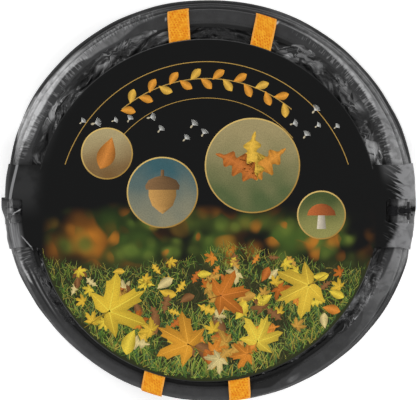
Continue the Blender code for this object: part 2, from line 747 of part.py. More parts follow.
def build_base_handle(finish, base):
    """The tipping handle and the two sewn ends that hold it under the base."""
    turn = HANDLE_TURN + math.pi
    hinge_z = base_patch_z() - 0.5 * FIT
    reach = base_handle_distance()
    place = (-reach * math.sin(turn), reach * math.cos(turn), hinge_z)
    hinge = frame_at("base_handle_axis", place, turn + math.pi, base)
    orange = finish["orange_webbing"]
    add_piece("base_handle", base_handle(hinge_z), orange, hinge)
    fixed = frame_at("base_handle_seat", place, turn + math.pi, base)
    low_z = base_patch_z() - hinge_z
    for label, side in (("left", -1.0), ("right", 1.0)):
        middle = side * 0.5 * BASE_HANDLE_SPACING
        low = (middle - 0.5 * WEBBING_WIDTH, 0.5 * FIT, low_z)
        high = (middle + 0.5 * WEBBING_WIDTH, BASE_PATCH_LENGTH, low_z + WEBBING_THICK)
        add_piece(f"base_handle_anchor_{label}", box_piece(low, high), orange, fixed)


def build_closures(finish, base, top):
    """The toggle closures, alike on both sides and turned to face outwards."""
    hinge_x, hinge_z = closure_hinge()
    core_x, core_z = toggle_place()
    lift = CLOSURE_Y - TOP_RIM_SHIFT
    for name, side, turn in (("right", 1.0, 0.0), ("left", -1.0, math.pi)):
        ground = frame_at(f"closure_{name}_foot", (0.0, CLOSURE_Y, 0.0), turn, base)
        seat = frame_at(f"closure_{name}_seat", (0.0, lift, -TOP_HEM_Z), turn, top)
        hinge = frame_at(f"closure_{name}_axis", (side * hinge_x, lift, hinge_z - TOP_HEM_Z), turn, top)
        add_piece(f"closure_tab_{name}", closure_tab(side), finish["black_webbing"], ground)
        add_cord(f"closure_loop_{name}", loop_route(), CORD_RADIUS, finish["elastic_cord"], ground)
        add_piece(f"closure_patch_{name}", closure_patch(), finish["black_webbing"], seat)
        add_piece(f"closure_strap_{name}", closure_strap(), finish["black_webbing"], hinge)
        bar = add_piece(f"toggle_{name}", toggle(), finish["toggle_plastic"], hinge)
        bar.location = (core_x - hinge_x, 0.0, core_z - hinge_z)


def build():
    """The whole bag."""
    for old in list(bpy.data.objects):
        bpy.data.objects.remove(old)
    finish = make_materials()
    base = frame_at("base")
    top = frame_at("top", (0.0, TOP_RIM_SHIFT, TOP_HEM_Z), 0.0, base)
    build_base(finish, base)
    build_top(finish, top)
    build_rim_handles(finish, top)
    build_base_handle(finish, base)
    build_closures(finish, base, top)
    card_axis = frame_at("card_axis", (0.0, -TOP_RIM_SHIFT, -TOP_HEM_Z), 0.0, top)
    add_card("display_card", finish["display_card"], card_axis)
    gap = coil_gap()
    print(f"least gap between the turns of the spiral: {gap * 1000.0:.2f} mm, over {MIN_COIL_GAP * 1000.0:.1f}")
    print(f"top hem from {TOP_HEM_Z * 1000.0:.2f} mm, crest {TOP_CREST_Z * 1000.0:.2f} mm")


build()
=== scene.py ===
"""Looks of the garden waste bag, collapsed flat on its back, seen from straight above.

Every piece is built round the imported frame, in metres, +Z up. The bag's coil, wall cloth, webbing, closures and
display card are each a class that builds its meshes and dresses them.
"""

from __future__ import annotations

import json
import logging
import math
import random
from collections.abc import Callable, Sequence
from dataclasses import dataclass, field
from enum import Enum
from functools import partial

import bmesh
import bpy
from bmesh.types import BMEdge, BMesh, BMVert
from mathutils import Matrix, Vector, noise
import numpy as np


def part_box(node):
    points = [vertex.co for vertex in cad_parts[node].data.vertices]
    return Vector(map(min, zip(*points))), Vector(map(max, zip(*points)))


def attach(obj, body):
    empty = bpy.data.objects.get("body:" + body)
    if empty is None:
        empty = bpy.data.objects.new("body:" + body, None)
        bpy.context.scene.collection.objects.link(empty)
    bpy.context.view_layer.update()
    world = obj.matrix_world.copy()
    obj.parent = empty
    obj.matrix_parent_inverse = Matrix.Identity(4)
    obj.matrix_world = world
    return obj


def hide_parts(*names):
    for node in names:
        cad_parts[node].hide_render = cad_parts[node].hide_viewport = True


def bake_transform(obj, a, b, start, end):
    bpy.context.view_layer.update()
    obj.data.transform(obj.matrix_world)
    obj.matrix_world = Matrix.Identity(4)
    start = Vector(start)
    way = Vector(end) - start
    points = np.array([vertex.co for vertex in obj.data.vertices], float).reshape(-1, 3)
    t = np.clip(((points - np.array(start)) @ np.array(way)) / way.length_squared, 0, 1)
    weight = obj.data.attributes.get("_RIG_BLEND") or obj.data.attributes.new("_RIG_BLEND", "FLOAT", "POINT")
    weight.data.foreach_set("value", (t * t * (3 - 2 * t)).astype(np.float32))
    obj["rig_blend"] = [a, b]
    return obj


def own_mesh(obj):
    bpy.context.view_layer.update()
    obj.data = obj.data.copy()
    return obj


LOG = logging.getLogger("garden_waste_bag")
FULL_TURN = 2.0 * math.pi
RIGHT_ANGLE = 0.5 * math.pi
MM = 0.001
WELD = 1e-6
UP = Vector((0.0, 0.0, 1.0))

Colour = tuple[float, float, float]
Point = tuple[float, float]
Row = tuple[float, ...]
Stripe = Sequence[tuple[Point, Colour]]
Tone = Callable[[float, float, int], Colour]
Place = Callable[[float, float], Vector]


class Body(str, Enum):
    """The moving bodies of the bag."""

    BASE = "base"
    TOP = "top"
    HANDLE_BACK = "handle_back"
    HANDLE_FRONT = "handle_front"
    BASE_HANDLE = "base_handle"
    CLOSURE_LEFT = "closure_left"
    CLOSURE_RIGHT = "closure_right"
    CARD = "card"


class Slot(str, Enum):
    """The record's finishes."""

    COATED_CLOTH = "coated_cloth"
    HEM_CLOTH = "hem_cloth"
    SPRING_WIRE = "spring_wire"
    FERRULE = "ferrule"
    ORANGE_WEBBING = "orange_webbing"
    BLACK_WEBBING = "black_webbing"
    ELASTIC_CORD = "elastic_cord"
    TOGGLE_PLASTIC = "toggle_plastic"
    DISPLAY_CARD = "display_card"


class LeafKind(Enum):
    """Outlines of the printed leaves."""

    OVAL = "oval"
    LOBED = "lobed"
    POINTED = "pointed"


def ease(low: float, high: float, x: float) -> float:
    """Smooth step from 0 at low to 1 at high."""
    share = min(1.0, max(0.0, (x - low) / (high - low)))
    return share * share * (3.0 - 2.0 * share)


def unease(share: float) -> float:
    """The place between 0 and 1 at which a smooth step has a given height."""
    return 0.5 - math.sin(math.asin(1.0 - 2.0 * share) / 3.0)


def between(first: float, last: float, share: float) -> float:
    """A number between two others."""
    return first + (last - first) * share


def mix(first: Sequence[float], second: Sequence[float], share: float) -> Row:
    """Numbers between two rows of them."""
    return tuple(between(a, b, share) for a, b in zip(first, second))


def shade(colour: Colour, factor: float, lift: float = 0.0) -> Colour:
    """A colour scaled and lifted, with no part over 1."""
    return tuple(min(1.0, factor * c + lift) for c in colour)


def polar(reach: float, angle: float, centre: Sequence[float] = (0.0, 0.0)) -> Point:
    """The point at a distance and direction from another."""
    return centre[0] + reach * math.cos(angle), centre[1] + reach * math.sin(angle)


def either_side(point: Point, angle: float, half: float) -> tuple[Point, Point]:
    """The points at a distance from another, back and on along a direction."""
    return polar(-half, angle, point), polar(half, angle, point)


def outward(angle: float) -> Vector:
    """A level direction."""
    return Vector((*polar(1.0, angle), 0.0))


def bumps(x: float, y: float, layer: float, scale: float = 1.0) -> float:
    """Smooth noise over a plane, from -1 to 1, with a layer for each use."""
    return noise.noise(Vector((scale * x, scale * y, layer)))


def unwind(degrees: float, middle: float) -> float:
    """The same direction, within half a turn of another, in degrees."""
    return middle + (degrees - middle + 180.0) % 360.0 - 180.0


def within_arcs(angle: float, arcs: tuple[Point, ...], soft: float) -> float:
    """How far a direction lies inside stretches of the rim.

    Args:
        angle: The direction, in radians.
        arcs: First and last direction of each stretch, in degrees.
        soft: Width of the fade at both ends, in degrees.

    Returns:
        1 inside a stretch, 0 outside them all.
    """
    total = 0.0
    for start, stop in arcs:
        middle, half = 0.5 * (start + stop), 0.5 * (stop - start)
        total += 1.0 - ease(half - soft, half, abs(unwind(math.degrees(angle), middle) - middle))
    return min(1.0, total)


def read_table(rows: tuple[Row, ...], x: float) -> Row | None:
    """Reads a table whose first column rises, with smooth steps between its rows.

    Args:
        rows: The table.
        x: The number to look up in its first column.

    Returns:
        The other columns, or None outside the table.
    """
    if rows[0][0] <= x <= rows[-1][0]:
        for first, second in zip(rows, rows[1:]):
            if x <= second[0]:
                return mix(first[1:], second[1:], ease(first[0], second[0], x))
    return None


def find_joint(name: str) -> dict:
    """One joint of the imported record."""
    return next(joint for joint in FRAME["joints"] if joint["name"] == name)


@dataclass(frozen=True)
class Gleam:
    """A stretch of the rim with a painted highlight on the taut coating, or painted shade where its strength is below
    0.

    Args:
        stops: Direction in degrees, radius and half width in millimetres, and strength, at places along it.
        plateau: Share of the half width that shines evenly.
    """

    stops: tuple[Row, ...]
    plateau: float = 0.45

    def strength(self, degrees: float, reach: float) -> float:
        """How strong the painted highlight is at a place, or below 0 the painted shade."""
        read = read_table(self.stops, unwind(degrees, 0.5 * (self.stops[0][0] + self.stops[-1][0])))
        if read is None:
            return 0.0
        radius, half, level = read
        return level * (1.0 - ease(self.plateau * half, half, abs(reach / MM - radius)))


@dataclass(frozen=True)
class Shine:
    """Painted highlights and painted shade on the coated cloth, and where it puckers, round the whole rim."""

    # Painted highlights where the strength is above 0, painted shade where it is below 0.
    gleams: tuple[Gleam, ...] = (
        Gleam(((98, 260, 5, 0), (110, 259, 8, 0.1), (120, 253, 10, 0.2), (129, 255, 9.5, 0.27), (134, 259, 7, 0.6),
               (139, 259.5, 6.2, 0.95), (146, 260.5, 8, 0.95), (151, 262, 10, 1), (158, 264, 10, 0.95),
               (164, 263, 6, 0.6), (168.5, 261.2, 3, 0.3), (174, 263.5, 2.6, 0.6), (179, 264.2, 2.6, 0.62),
               (182.2, 264.2, 2.4, 0.55), (183.8, 264.2, 1.6, 0)), 0.7),
        Gleam(((144, 256, 5, 0), (152, 253, 6, 0.12), (160, 253, 5.5, 0.3), (165, 254, 3, 0)), 0.6),
        Gleam(((-50, 269, 6, 0), (-40, 268, 8, 0.04), (-31, 255, 12, 0.14), (-22, 264, 11, 0.2), (-15, 266, 12, 0.32),
               (-8, 265, 14, 0.34), (0, 265, 14, 0.38), (8, 261, 13, 0.46), (16, 259, 12, 0.46), (24, 260, 9, 0.36),
               (35, 260, 10, 0.25), (44, 260, 9.5, 0.24), (56, 260.5, 6.5, 0.22), (66, 264, 5, 0.12),
               (78, 264, 4, 0)), 0.75),
        Gleam(((26, 254, 1, 0), (33, 254, 4, 0.42), (45, 254.8, 3, 0.42), (56, 255.5, 1.8, 0.4), (64, 254.8, 1.2, 0.3),
               (71, 254.5, 0.8, 0)), 0.3),
        Gleam(((180, 270, 9, 0.1), (185, 269, 11, 0.33), (191, 266, 11, 0.36), (198, 267, 7, 0.25), (205, 268, 4, 0.1),
               (212, 268, 3, 0)), 0.6),
        Gleam(((68.3, 255.5, 2.4, 0), (68.9, 253, 3, 0.9), (69.6, 250, 2.4, 0))),
        Gleam(((102.9, 250, 2, 0), (103.4, 248, 2.6, 0.5), (104, 245.5, 2, 0))),
        Gleam(((182.6, 250, 1.8, 0), (183, 253, 2, 0.85), (184, 261, 2, 0.75), (185, 269, 2, 0.6),
               (185.3, 271.5, 1.8, 0)), 0.3),
        Gleam(((194.2, 247, 0.8, 0), (195, 244.8, 1.4, 0.75), (197.8, 239.4, 1.2, 0.65), (198.6, 238, 0.6, 0)), 0.3),
        Gleam(((197, 264.2, 0.6, 0), (199.5, 263.4, 1.6, 0.6), (203, 261.8, 2, 0.85), (206.5, 260, 0.8, 0)), 0.4),
        Gleam(((212, 264.5, 4, 0), (221, 264, 5.5, 0.075), (235, 264.5, 5, 0.05), (265, 265, 4, 0.035),
               (284, 265, 4, 0)), 0.2),
        Gleam(((206, 256, 12, 0), (225, 256, 12, 0.012), (318, 256, 12, 0.012), (330, 256, 12, 0)), 0.7),
        Gleam(((199, 256, 0.8, 0), (204, 254.8, 1.5, 0.3), (212, 254.2, 1.3, 0.26), (219, 255, 0.8, 0)), 0.3),
        Gleam(((201, 250, 0.8, 0), (207, 249, 1.4, 0.22), (217, 250, 1, 0)), 0.3),
        Gleam(((198, 259, 0.8, 0), (204, 257.6, 1.6, -0.9), (213, 257.2, 1.4, -0.8), (224, 258, 1, 0)), 0.5),
        Gleam(((200, 253, 0.8, 0), (206, 251.9, 1.5, -0.9), (214, 252, 1.2, -0.7), (221, 252.8, 0.8, 0)), 0.5),
        Gleam(((-83, 247, 12, -1), (-77, 248, 12.8, -1), (-72, 250, 13.6, -1), (-67, 246, 12, -0.9),
               (-61, 242, 9, -0.6), (-56, 240, 6, 0)), 0.8),
        Gleam(((-67.5, 264.5, 2.4, 0), (-65, 263.4, 4.5, 0.16), (-61.5, 261, 2.4, 0)), 0.4),
        Gleam(((-2.5, 268, 4, 0), (-0.3, 268.5, 6, 0.2), (3, 266.5, 4.5, 0)), 0.4),
    )
    puckers: tuple[Gleam, ...] = (
        Gleam(((104, 259, 6, 0), (110, 259, 8, 0.9), (126, 258, 7, 0.7), (134, 250, 6, 0.8), (150, 249, 6, 0.7),
               (163, 256, 8, 0.9), (172, 260, 6, 0))),
        Gleam(((-42, 248, 6, 0), (-30, 247, 8, 0.7), (-20, 244, 7, 0.6), (-14, 244, 6, 0))),
        Gleam(((8, 244, 8, 0.5), (20, 246, 9, 1), (32, 248, 8, 1), (46, 249, 6, 0.9), (58, 250, 4, 0.5),
               (66, 251, 3, 0))),
        Gleam(((186, 256, 12, 0.6), (198, 256, 12, 0.7), (210, 256, 6, 0))),
    )

    def level(self, gleams: tuple[Gleam, ...], x: float, y: float) -> float:
        """How strong a set of gleams is at a place, up to 1."""
        degrees, reach = math.degrees(math.atan2(y, x)), math.hypot(x, y)
        return min(1.0, sum(gleam.strength(degrees, reach) for gleam in gleams))

    def gleam(self, x: float, y: float) -> float:
        """How strong the painted highlight is at a place, or below 0 the painted shade."""
        return self.level(self.gleams, x, y)

    def pucker(self, x: float, y: float) -> float:
        """How strongly short puckers cross the cloth at a place."""
        return self.level(self.puckers, x, y)

    def mark(self, bm: BMesh, share: float = 1.0) -> None:
        """Keeps a share of both, painted light and puckers, on a mesh's vertices, for its finish to read."""
        haze, tick = (bm.verts.layers.float.new(name) for name in ("haze", "pucker"))
        for vert in bm.verts:
            vert[haze] = share * self.gleam(*vert.co.xy)
            vert[tick] = share * self.pucker(*vert.co.xy)


@dataclass(frozen=True)
class Stack:
    """Sizes of the collapsed stack, read from the frame.

    Args:
        base_radius: Outer radius of the base rim.
        top_radius: Outer radius of the top rim.
        top_shift: How far the top rim's centre lies from the base's, along Y.
        top_z: Underside of the top hem.
        crest_z: Highest line of the top hem.
        coil_low: Underside of the coil.
        coil_high: Top of the coil.
        hem_width: From a hem's outer edge to its inner one.
        turns: Turns of the coil.
        start_angle: Direction in which the coil starts.
        fit: Room between pieces that lie on each other.
        outline: How far the slack pack reaches past a true round, in millimetres by degrees.
    """

    base_radius: float
    top_radius: float
    top_shift: float
    top_z: float
    crest_z: float
    coil_low: float
    coil_high: float
    hem_width: float = 0.0245
    turns: float = 2.25
    start_angle: float = math.radians(225.0)
    fit: float = 0.0003
    outline: tuple[Point, ...] = (
        (-180, 0), (-173.5, 0), (-168, 4.4), (-160, 3.8), (-150, 1.4), (-142, -0.2), (-130, -1.2), (-90, -0.8),
        (-78, 2.4), (-66, 4), (-54, 5.4), (-42, 7.4), (-30, 8.8), (-18, 9), (-10, 5.6), (-6.5, 0), (0.3, 0), (4, 4.8),
        (10, 7), (20, 6.8), (30, 4.6), (45, 2.6), (60, 1.6), (90, -1), (108, 0.6), (120, 2), (135, 3), (150, 4.4),
        (160, 3.6), (170, 2.2), (176, 1.2), (179.5, 0), (180, 0),
    )

    @classmethod
    def from_frame(cls) -> Stack:
        """Reads the stack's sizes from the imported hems."""
        _, base_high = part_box("base_hem")
        top_low, top_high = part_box("top_hem")
        coil_low, coil_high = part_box("spiral_hem")
        radius, shift = 0.5 * (top_high.y - top_low.y), 0.5 * (top_high.y + top_low.y)
        return cls(base_high.x, radius, shift, top_low.z, top_high.z, coil_low.z, coil_high.z)

    @property
    def tube(self) -> float:
        """Radius of the hem's channel, outside."""
        return 0.5 * (self.crest_z - self.top_z)

    def chord(self, aside: float) -> float:
        """Distance out to the top rim's crest, at a distance beside its middle."""
        return math.sqrt((self.top_radius - self.tube) ** 2 - aside**2)

    def swell(self, x: float, y: float) -> float:
        """How far the slack pack reaches past a true round, in one direction."""
        return MM * read_table(self.outline, math.degrees(math.atan2(y, x)))[0]

    def spread(self, bm: BMesh, share: float) -> None:
        """Pushes a ring's outer side out to the pack's own outline.

        Args:
            bm: The ring's mesh, in place.
            share: Its level in the stack, from the base at 0 to the top at 1.
        """
        radius, centre_y = self.ring(share)
        hold = 1.0 - 0.6 * share
        for vert in bm.verts:
            out = Vector((vert.co.x, vert.co.y - centre_y, 0.0))
            reach = 1.0 - ease(0.0, self.hem_width, radius - out.length)
            vert.co += out.normalized() * (hold * self.swell(*vert.co.xy) * reach)

    def ring(self, share: float) -> Point:
        """Outer radius and centre of the stack, from the base at 0 to the top at 1."""
        return self.base_radius + (self.top_radius - self.base_radius) * share, self.top_shift * share


@dataclass(frozen=True)
class Station:
    """One place along a swept piece.

    Args:
        place: Where the section stands.
        across: Direction of the section's first number.
        up: Direction of its second.
        length: Metres along the piece, for its cloth pattern.
    """

    place: Vector
    across: Vector
    up: Vector
    length: float


def remap(bm: BMesh, rule: Callable[[Vector, Vector], Sequence[float]]) -> None:
    """Lays a mesh's UV map anew, from the old one and the vertices' places."""
    uv = bm.loops.layers.uv.active
    for face in bm.faces:
        for loop in face.loops:
            loop[uv].uv = rule(loop[uv].uv, loop.vert.co)


def mapped_grid(columns: int, rows: int, place: Place, size: Point = (1.0, 1.0)) -> BMesh:
    """A grid laid on a surface.

    Args:
        columns: Faces along the first direction.
        rows: Faces along the second.
        place: The point for two numbers from 0 to 1.
        size: Size of its UV map.

    Returns:
        The mesh, with open edges and the two numbers as its UV map.
    """
    bm = bmesh.new()
    bmesh.ops.create_grid(bm, x_segments=columns, y_segments=rows, size=0.5)
    bm.loops.layers.uv.new("UVMap")
    remap(bm, lambda _, co: (size[0] * (co.x + 0.5), size[1] * (co.y + 0.5)))
    for vert in bm.verts:
        vert.co = place(*(min(1.0, max(0.0, n + 0.5)) for n in vert.co.xy))
    return bm


def close_up(bm: BMesh, fill: Callable[[BMEdge], bool] = lambda edge: False) -> None:
    """Merges doubles, fills the open rims whose edges pass a test, and turns every face outwards."""
    bmesh.ops.remove_doubles(bm, verts=bm.verts, dist=WELD)
    if rims := [edge for edge in bm.edges if edge.is_boundary and fill(edge)]:
        bmesh.ops.holes_fill(bm, edges=rims, sides=0)
    bmesh.ops.recalc_face_normals(bm, faces=bm.faces)


def sweep(stations: list[Station], section: list[Point], closed: bool = False) -> BMesh:
    """A closed section carried along stations.

    Args:
        stations: Places along the piece.
        section: The section's outline, as distances across and up.
        closed: Whether the piece runs back into its start.

    Returns:
        A closed mesh with a UV map in metres, capped unless it runs round.
    """
    count, spans = len(section), len(stations) - 1
    runs = [0.0]
    for here, there in zip(section, [*section[1:], section[0]]):
        runs.append(runs[-1] + math.dist(here, there))

    def place(u: float, v: float) -> Vector:
        """The swept point."""
        station = stations[round(u * spans)]
        across, up = section[round(v * count) % count]
        return station.place + station.across * across + station.up * up

    bm = mapped_grid(spans, count, place)
    remap(bm, lambda uv, _: (stations[round(uv.x * spans)].length, runs[round(uv.y * count)]))
    close_up(bm, lambda edge: not closed)
    return bm


def ring_stations(radius: float, centre_y: float, z: float, count: int) -> list[Station]:
    """Stations round a rim, the last on top of the first, with the section's first number running outwards."""
    centre = Vector((0.0, centre_y, z))
    turns = [outward(FULL_TURN * (k % count) / count) for k in range(count + 1)]
    return [Station(centre + radius * out, out, UP, FULL_TURN * radius * k / count) for k, out in enumerate(turns)]


def path_stations(points: list[Vector], up: Vector = UP, across: Vector | None = None) -> list[Station]:
    """Stations along a route.

    Args:
        points: The route's points.
        up: Direction of the section's second number, as near as the route allows.
        across: Direction of its first number, where that is the same all along.

    Returns:
        A station at each point.
    """
    stations, length = [], 0.0
    for k, point in enumerate(points):
        before, after = points[max(k - 1, 0)], points[min(k + 1, len(points) - 1)]
        along = (after - before).normalized()
        side = along.cross(up).normalized() if across is None else across
        length += (point - before).length
        stations.append(Station(point, side, side.cross(along), length))
    return stations


def smooth_route(points: list[Vector], steps: int) -> list[Vector]:
    """Points of a smooth curve through a route's own points, some steps for each."""
    route, last = [], len(points) - 1
    for k in range(last):
        p0, p1, p2, p3 = (points[min(max(k + j, 0), last)] for j in (-1, 0, 1, 2))
        for t in (s / steps for s in range(steps)):
            route.append(0.5 * (2.0 * p1 + (p2 - p0) * t + (2.0 * p0 - 5.0 * p1 + 4.0 * p2 - p3) * t**2
                                + (3.0 * p1 - p0 - 3.0 * p2 + p3) * t**3))
    return [*route, points[-1]]


def arc_points(centre: Point, radius: float, start: float, stop: float, steps: int) -> list[Point]:
    """Points of an arc in a plane, both ends included."""
    return [polar(radius, start + (stop - start) * k / steps, centre) for k in range(steps + 1)]


def round_section(radius: float, sides: int, centre: Point = (0.0, 0.0)) -> list[Point]:
    """A round section."""
    return arc_points(centre, radius, 0.0, FULL_TURN, sides)[:-1]


def strip_section(width: float, thickness: float, columns: int) -> list[Point]:
    """A strap's section: flat, with rounded selvedges.

    Args:
        width: Between its selvedges.
        thickness: Of the strap.
        columns: Faces across it.

    Returns:
        The section's outline.
    """
    lift = 0.5 * thickness
    flat = 0.5 * width - lift
    upper = [(flat - 2.0 * flat * k / columns, lift) for k in range(columns + 1)]
    left = arc_points((-flat, 0.0), lift, RIGHT_ANGLE, 3.0 * RIGHT_ANGLE, 4)[1:-1]
    return [*upper, *left, *((-x, -z) for x, z in [*upper, *left])]


def link(name: str, data: bpy.types.ID) -> bpy.types.Object:
    """Puts an object into the scene."""
    made = bpy.data.objects.new(name, data)
    bpy.context.scene.collection.objects.link(made)
    return made


@dataclass(frozen=True)
class Finish:
    """A material with the record's finish that it stands for."""

    material: bpy.types.Material
    slot: Slot


def add_piece(name: str, bm: BMesh, finish: Finish, body: Body | None = None, replaces: tuple[str, ...] = (),
              sharp: float = 40.0) -> bpy.types.Object:
    """Turns a finished bmesh into a piece of the bag.

    Args:
        name: Name of the piece.
        bm: Its mesh, in place. It is freed.
        finish: Its finish.
        body: The body that it rides on, or None where it bends between two.
        replaces: The solids that it stands for.
        sharp: Angle in degrees past which an edge shades as a corner.

    Returns:
        The piece.
    """
    mesh = bpy.data.meshes.new(name)
    bm.to_mesh(mesh)
    bm.free()
    mesh.shade_smooth()
    mesh.set_sharp_from_angle(angle=math.radians(sharp))
    mesh.materials.append(finish.material)
    piece = link(name, mesh)
    if body is not None:
        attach(piece, body.value)
    if replaces:
        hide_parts(*replaces)
    LOG.info("%s: %d faces", name, len(mesh.polygons))
    return piece


class Signal:
    """A number, vector or colour on its way through a material's nodes, with plain arithmetic."""

    def __init__(self, made: Nodes, socket: bpy.types.NodeSocket) -> None:
        """Starts at a node's output."""
        self.made = made
        self.socket = socket

    def __add__(self, other: Signal | float) -> Signal:
        """The sum."""
        return self.made.math("ADD", self, other)

    def __sub__(self, other: Signal | float) -> Signal:
        """The difference."""
        return self.made.math("SUBTRACT", self, other)

    def __rsub__(self, other: float) -> Signal:
        """A number less this one."""
        return self.made.math("SUBTRACT", other, self)

    def __mul__(self, other: Signal | float) -> Signal:
        """The product."""
        return self.made.math("MULTIPLY", self, other)

    def __truediv__(self, other: float) -> Signal:
        """The quotient."""
        return self.made.math("DIVIDE", self, other)

    def __abs__(self) -> Signal:
        """Its size without its sign."""
        return self.made.math("ABSOLUTE", self)

    def sine(self) -> Signal:
        """Its sine."""
        return self.made.math("SINE", self)

    def most(self, other: Signal) -> Signal:
        """The larger of two numbers."""
        return self.made.math("MAXIMUM", self, other)

    def capped(self) -> Signal:
        """No more than 1."""
        return self.made.math("MINIMUM", self, 1.0)

    def parts(self, kind: str = "XYZ") -> list[Signal]:
        """Its three numbers, as those of a vector or, with the kind Color, of a colour."""
        split = self.made.node(f"Separate{kind}")
        self.made.feed(split.inputs[0], self)
        return [Signal(self.made, socket) for socket in split.outputs]

    def noise(self, scale: float, detail: float = 2.0, distortion: float = 0.0) -> Signal:
        """A noise between 0 and 1 at this place."""
        return self.made.read("TexNoise", "Fac", Vector=self, Scale=scale, Detail=detail, Distortion=distortion)

    def ramp(self, low: float, high: float, first: float = 0.0, last: float = 1.0) -> Signal:
        """A smooth step from the first number to the last, as this goes from low to high."""
        return self.made.read("MapRange", "Result", {"interpolation_type": "SMOOTHSTEP"}, Value=self, From_Min=low,
                              From_Max=high, To_Min=first, To_Max=last)

    def blend(self, first: object, second: object) -> Signal:
        """A colour that goes from the first to the second as this goes from 0 to 1."""
        made = self.made.node("Mix", {"data_type": "RGBA"})
        colours = [socket for socket in made.inputs if socket.type == "RGBA"]
        for socket, value in zip((made.inputs[0], *colours), (self, first, second)):
            self.made.feed(socket, value)
        return Signal(self.made, next(socket for socket in made.outputs if socket.type == "RGBA"))


class Nodes:
    """A short way to write one material's nodes."""

    def __init__(self, name: str, roughness: float, metallic: float = 0.0, coat: float = 0.0,
                 coat_roughness: float = 0.1, specular: float = 0.5, sheen: float = 0.0) -> None:
        """Starts a material with one Principled shader.

        Args:
            name: Name of the material.
            roughness: Roughness of the surface.
            metallic: 1 on metal.
            coat: Weight of the clear coat.
            coat_roughness: Roughness of the clear coat.
            specular: Specular level.
            sheen: Weight of the cloth's sheen.
        """
        self.material = bpy.data.materials.new(name)
        self.material.use_nodes = True
        self.tree = self.material.node_tree
        self.shader = self.tree.nodes["Principled BSDF"]
        for socket, value in (("Roughness", roughness), ("Metallic", metallic), ("Coat Weight", coat),
                              ("Coat Roughness", coat_roughness), ("Specular IOR Level", specular),
                              ("Sheen Weight", sheen)):
            self.put(socket, value)

    def put(self, socket: str, value: object) -> None:
        """Sets or links one of the shader's sockets."""
        self.feed(self.shader.inputs[socket], value)

    def feed(self, socket: bpy.types.NodeSocket, value: object) -> None:
        """Sets a socket to a number or a colour, or links a signal to it."""
        if isinstance(value, Signal):
            self.tree.links.new(value.socket, socket)
        elif isinstance(value, tuple) and socket.type == "RGBA":
            socket.default_value = (*value, 1.0)
        else:
            socket.default_value = value

    def node(self, kind: str, settings: dict[str, object] | None = None, **sockets: object) -> bpy.types.Node:
        """Adds a node.

        Args:
            kind: Its type, without the ShaderNode prefix.
            settings: Its own properties.
            sockets: Its inputs, with underscores for spaces.

        Returns:
            The node.
        """
        made = self.tree.nodes.new(f"ShaderNode{kind}")
        for key, value in (settings or {}).items():
            setattr(made, key, value)
        for key, value in sockets.items():
            self.feed(made.inputs[key.replace("_", " ")], value)
        return made

    def read(self, kind: str, output: str | int, settings: dict[str, object] | None = None,
             **sockets: object) -> Signal:
        """Adds a node and reads one of its outputs."""
        return Signal(self, self.node(kind, settings, **sockets).outputs[output])

    def place(self) -> Signal:
        """Object coordinates, in metres."""
        return self.read("TexCoord", "Object")

    def unrolled(self) -> Signal:
        """The piece's own UV map, in metres."""
        return self.read("UVMap", "UV", {"uv_map": "UVMap"})

    def attribute(self, name: str, output: str = "Fac") -> Signal:
        """A number or colour kept on the piece's vertices."""
        return self.read("Attribute", output, {"attribute_name": name})

    def math(self, operation: str, *values: object) -> Signal:
        """A Math node."""
        made = self.node("Math", {"operation": operation})
        for socket, value in zip(made.inputs, values):
            self.feed(socket, value)
        return Signal(self, made.outputs[0])

    def join(self, x: Signal, y: Signal) -> Signal:
        """A place from two numbers."""
        return self.read("CombineXYZ", 0, X=x, Y=y)

    def relief(self, height: Signal, depth: float) -> None:
        """Gives the surface a fine relief, from a number between 0 and 1 and its depth in metres."""
        self.put("Normal", self.read("Bump", "Normal", Strength=1.0, Distance=depth, Height=height))


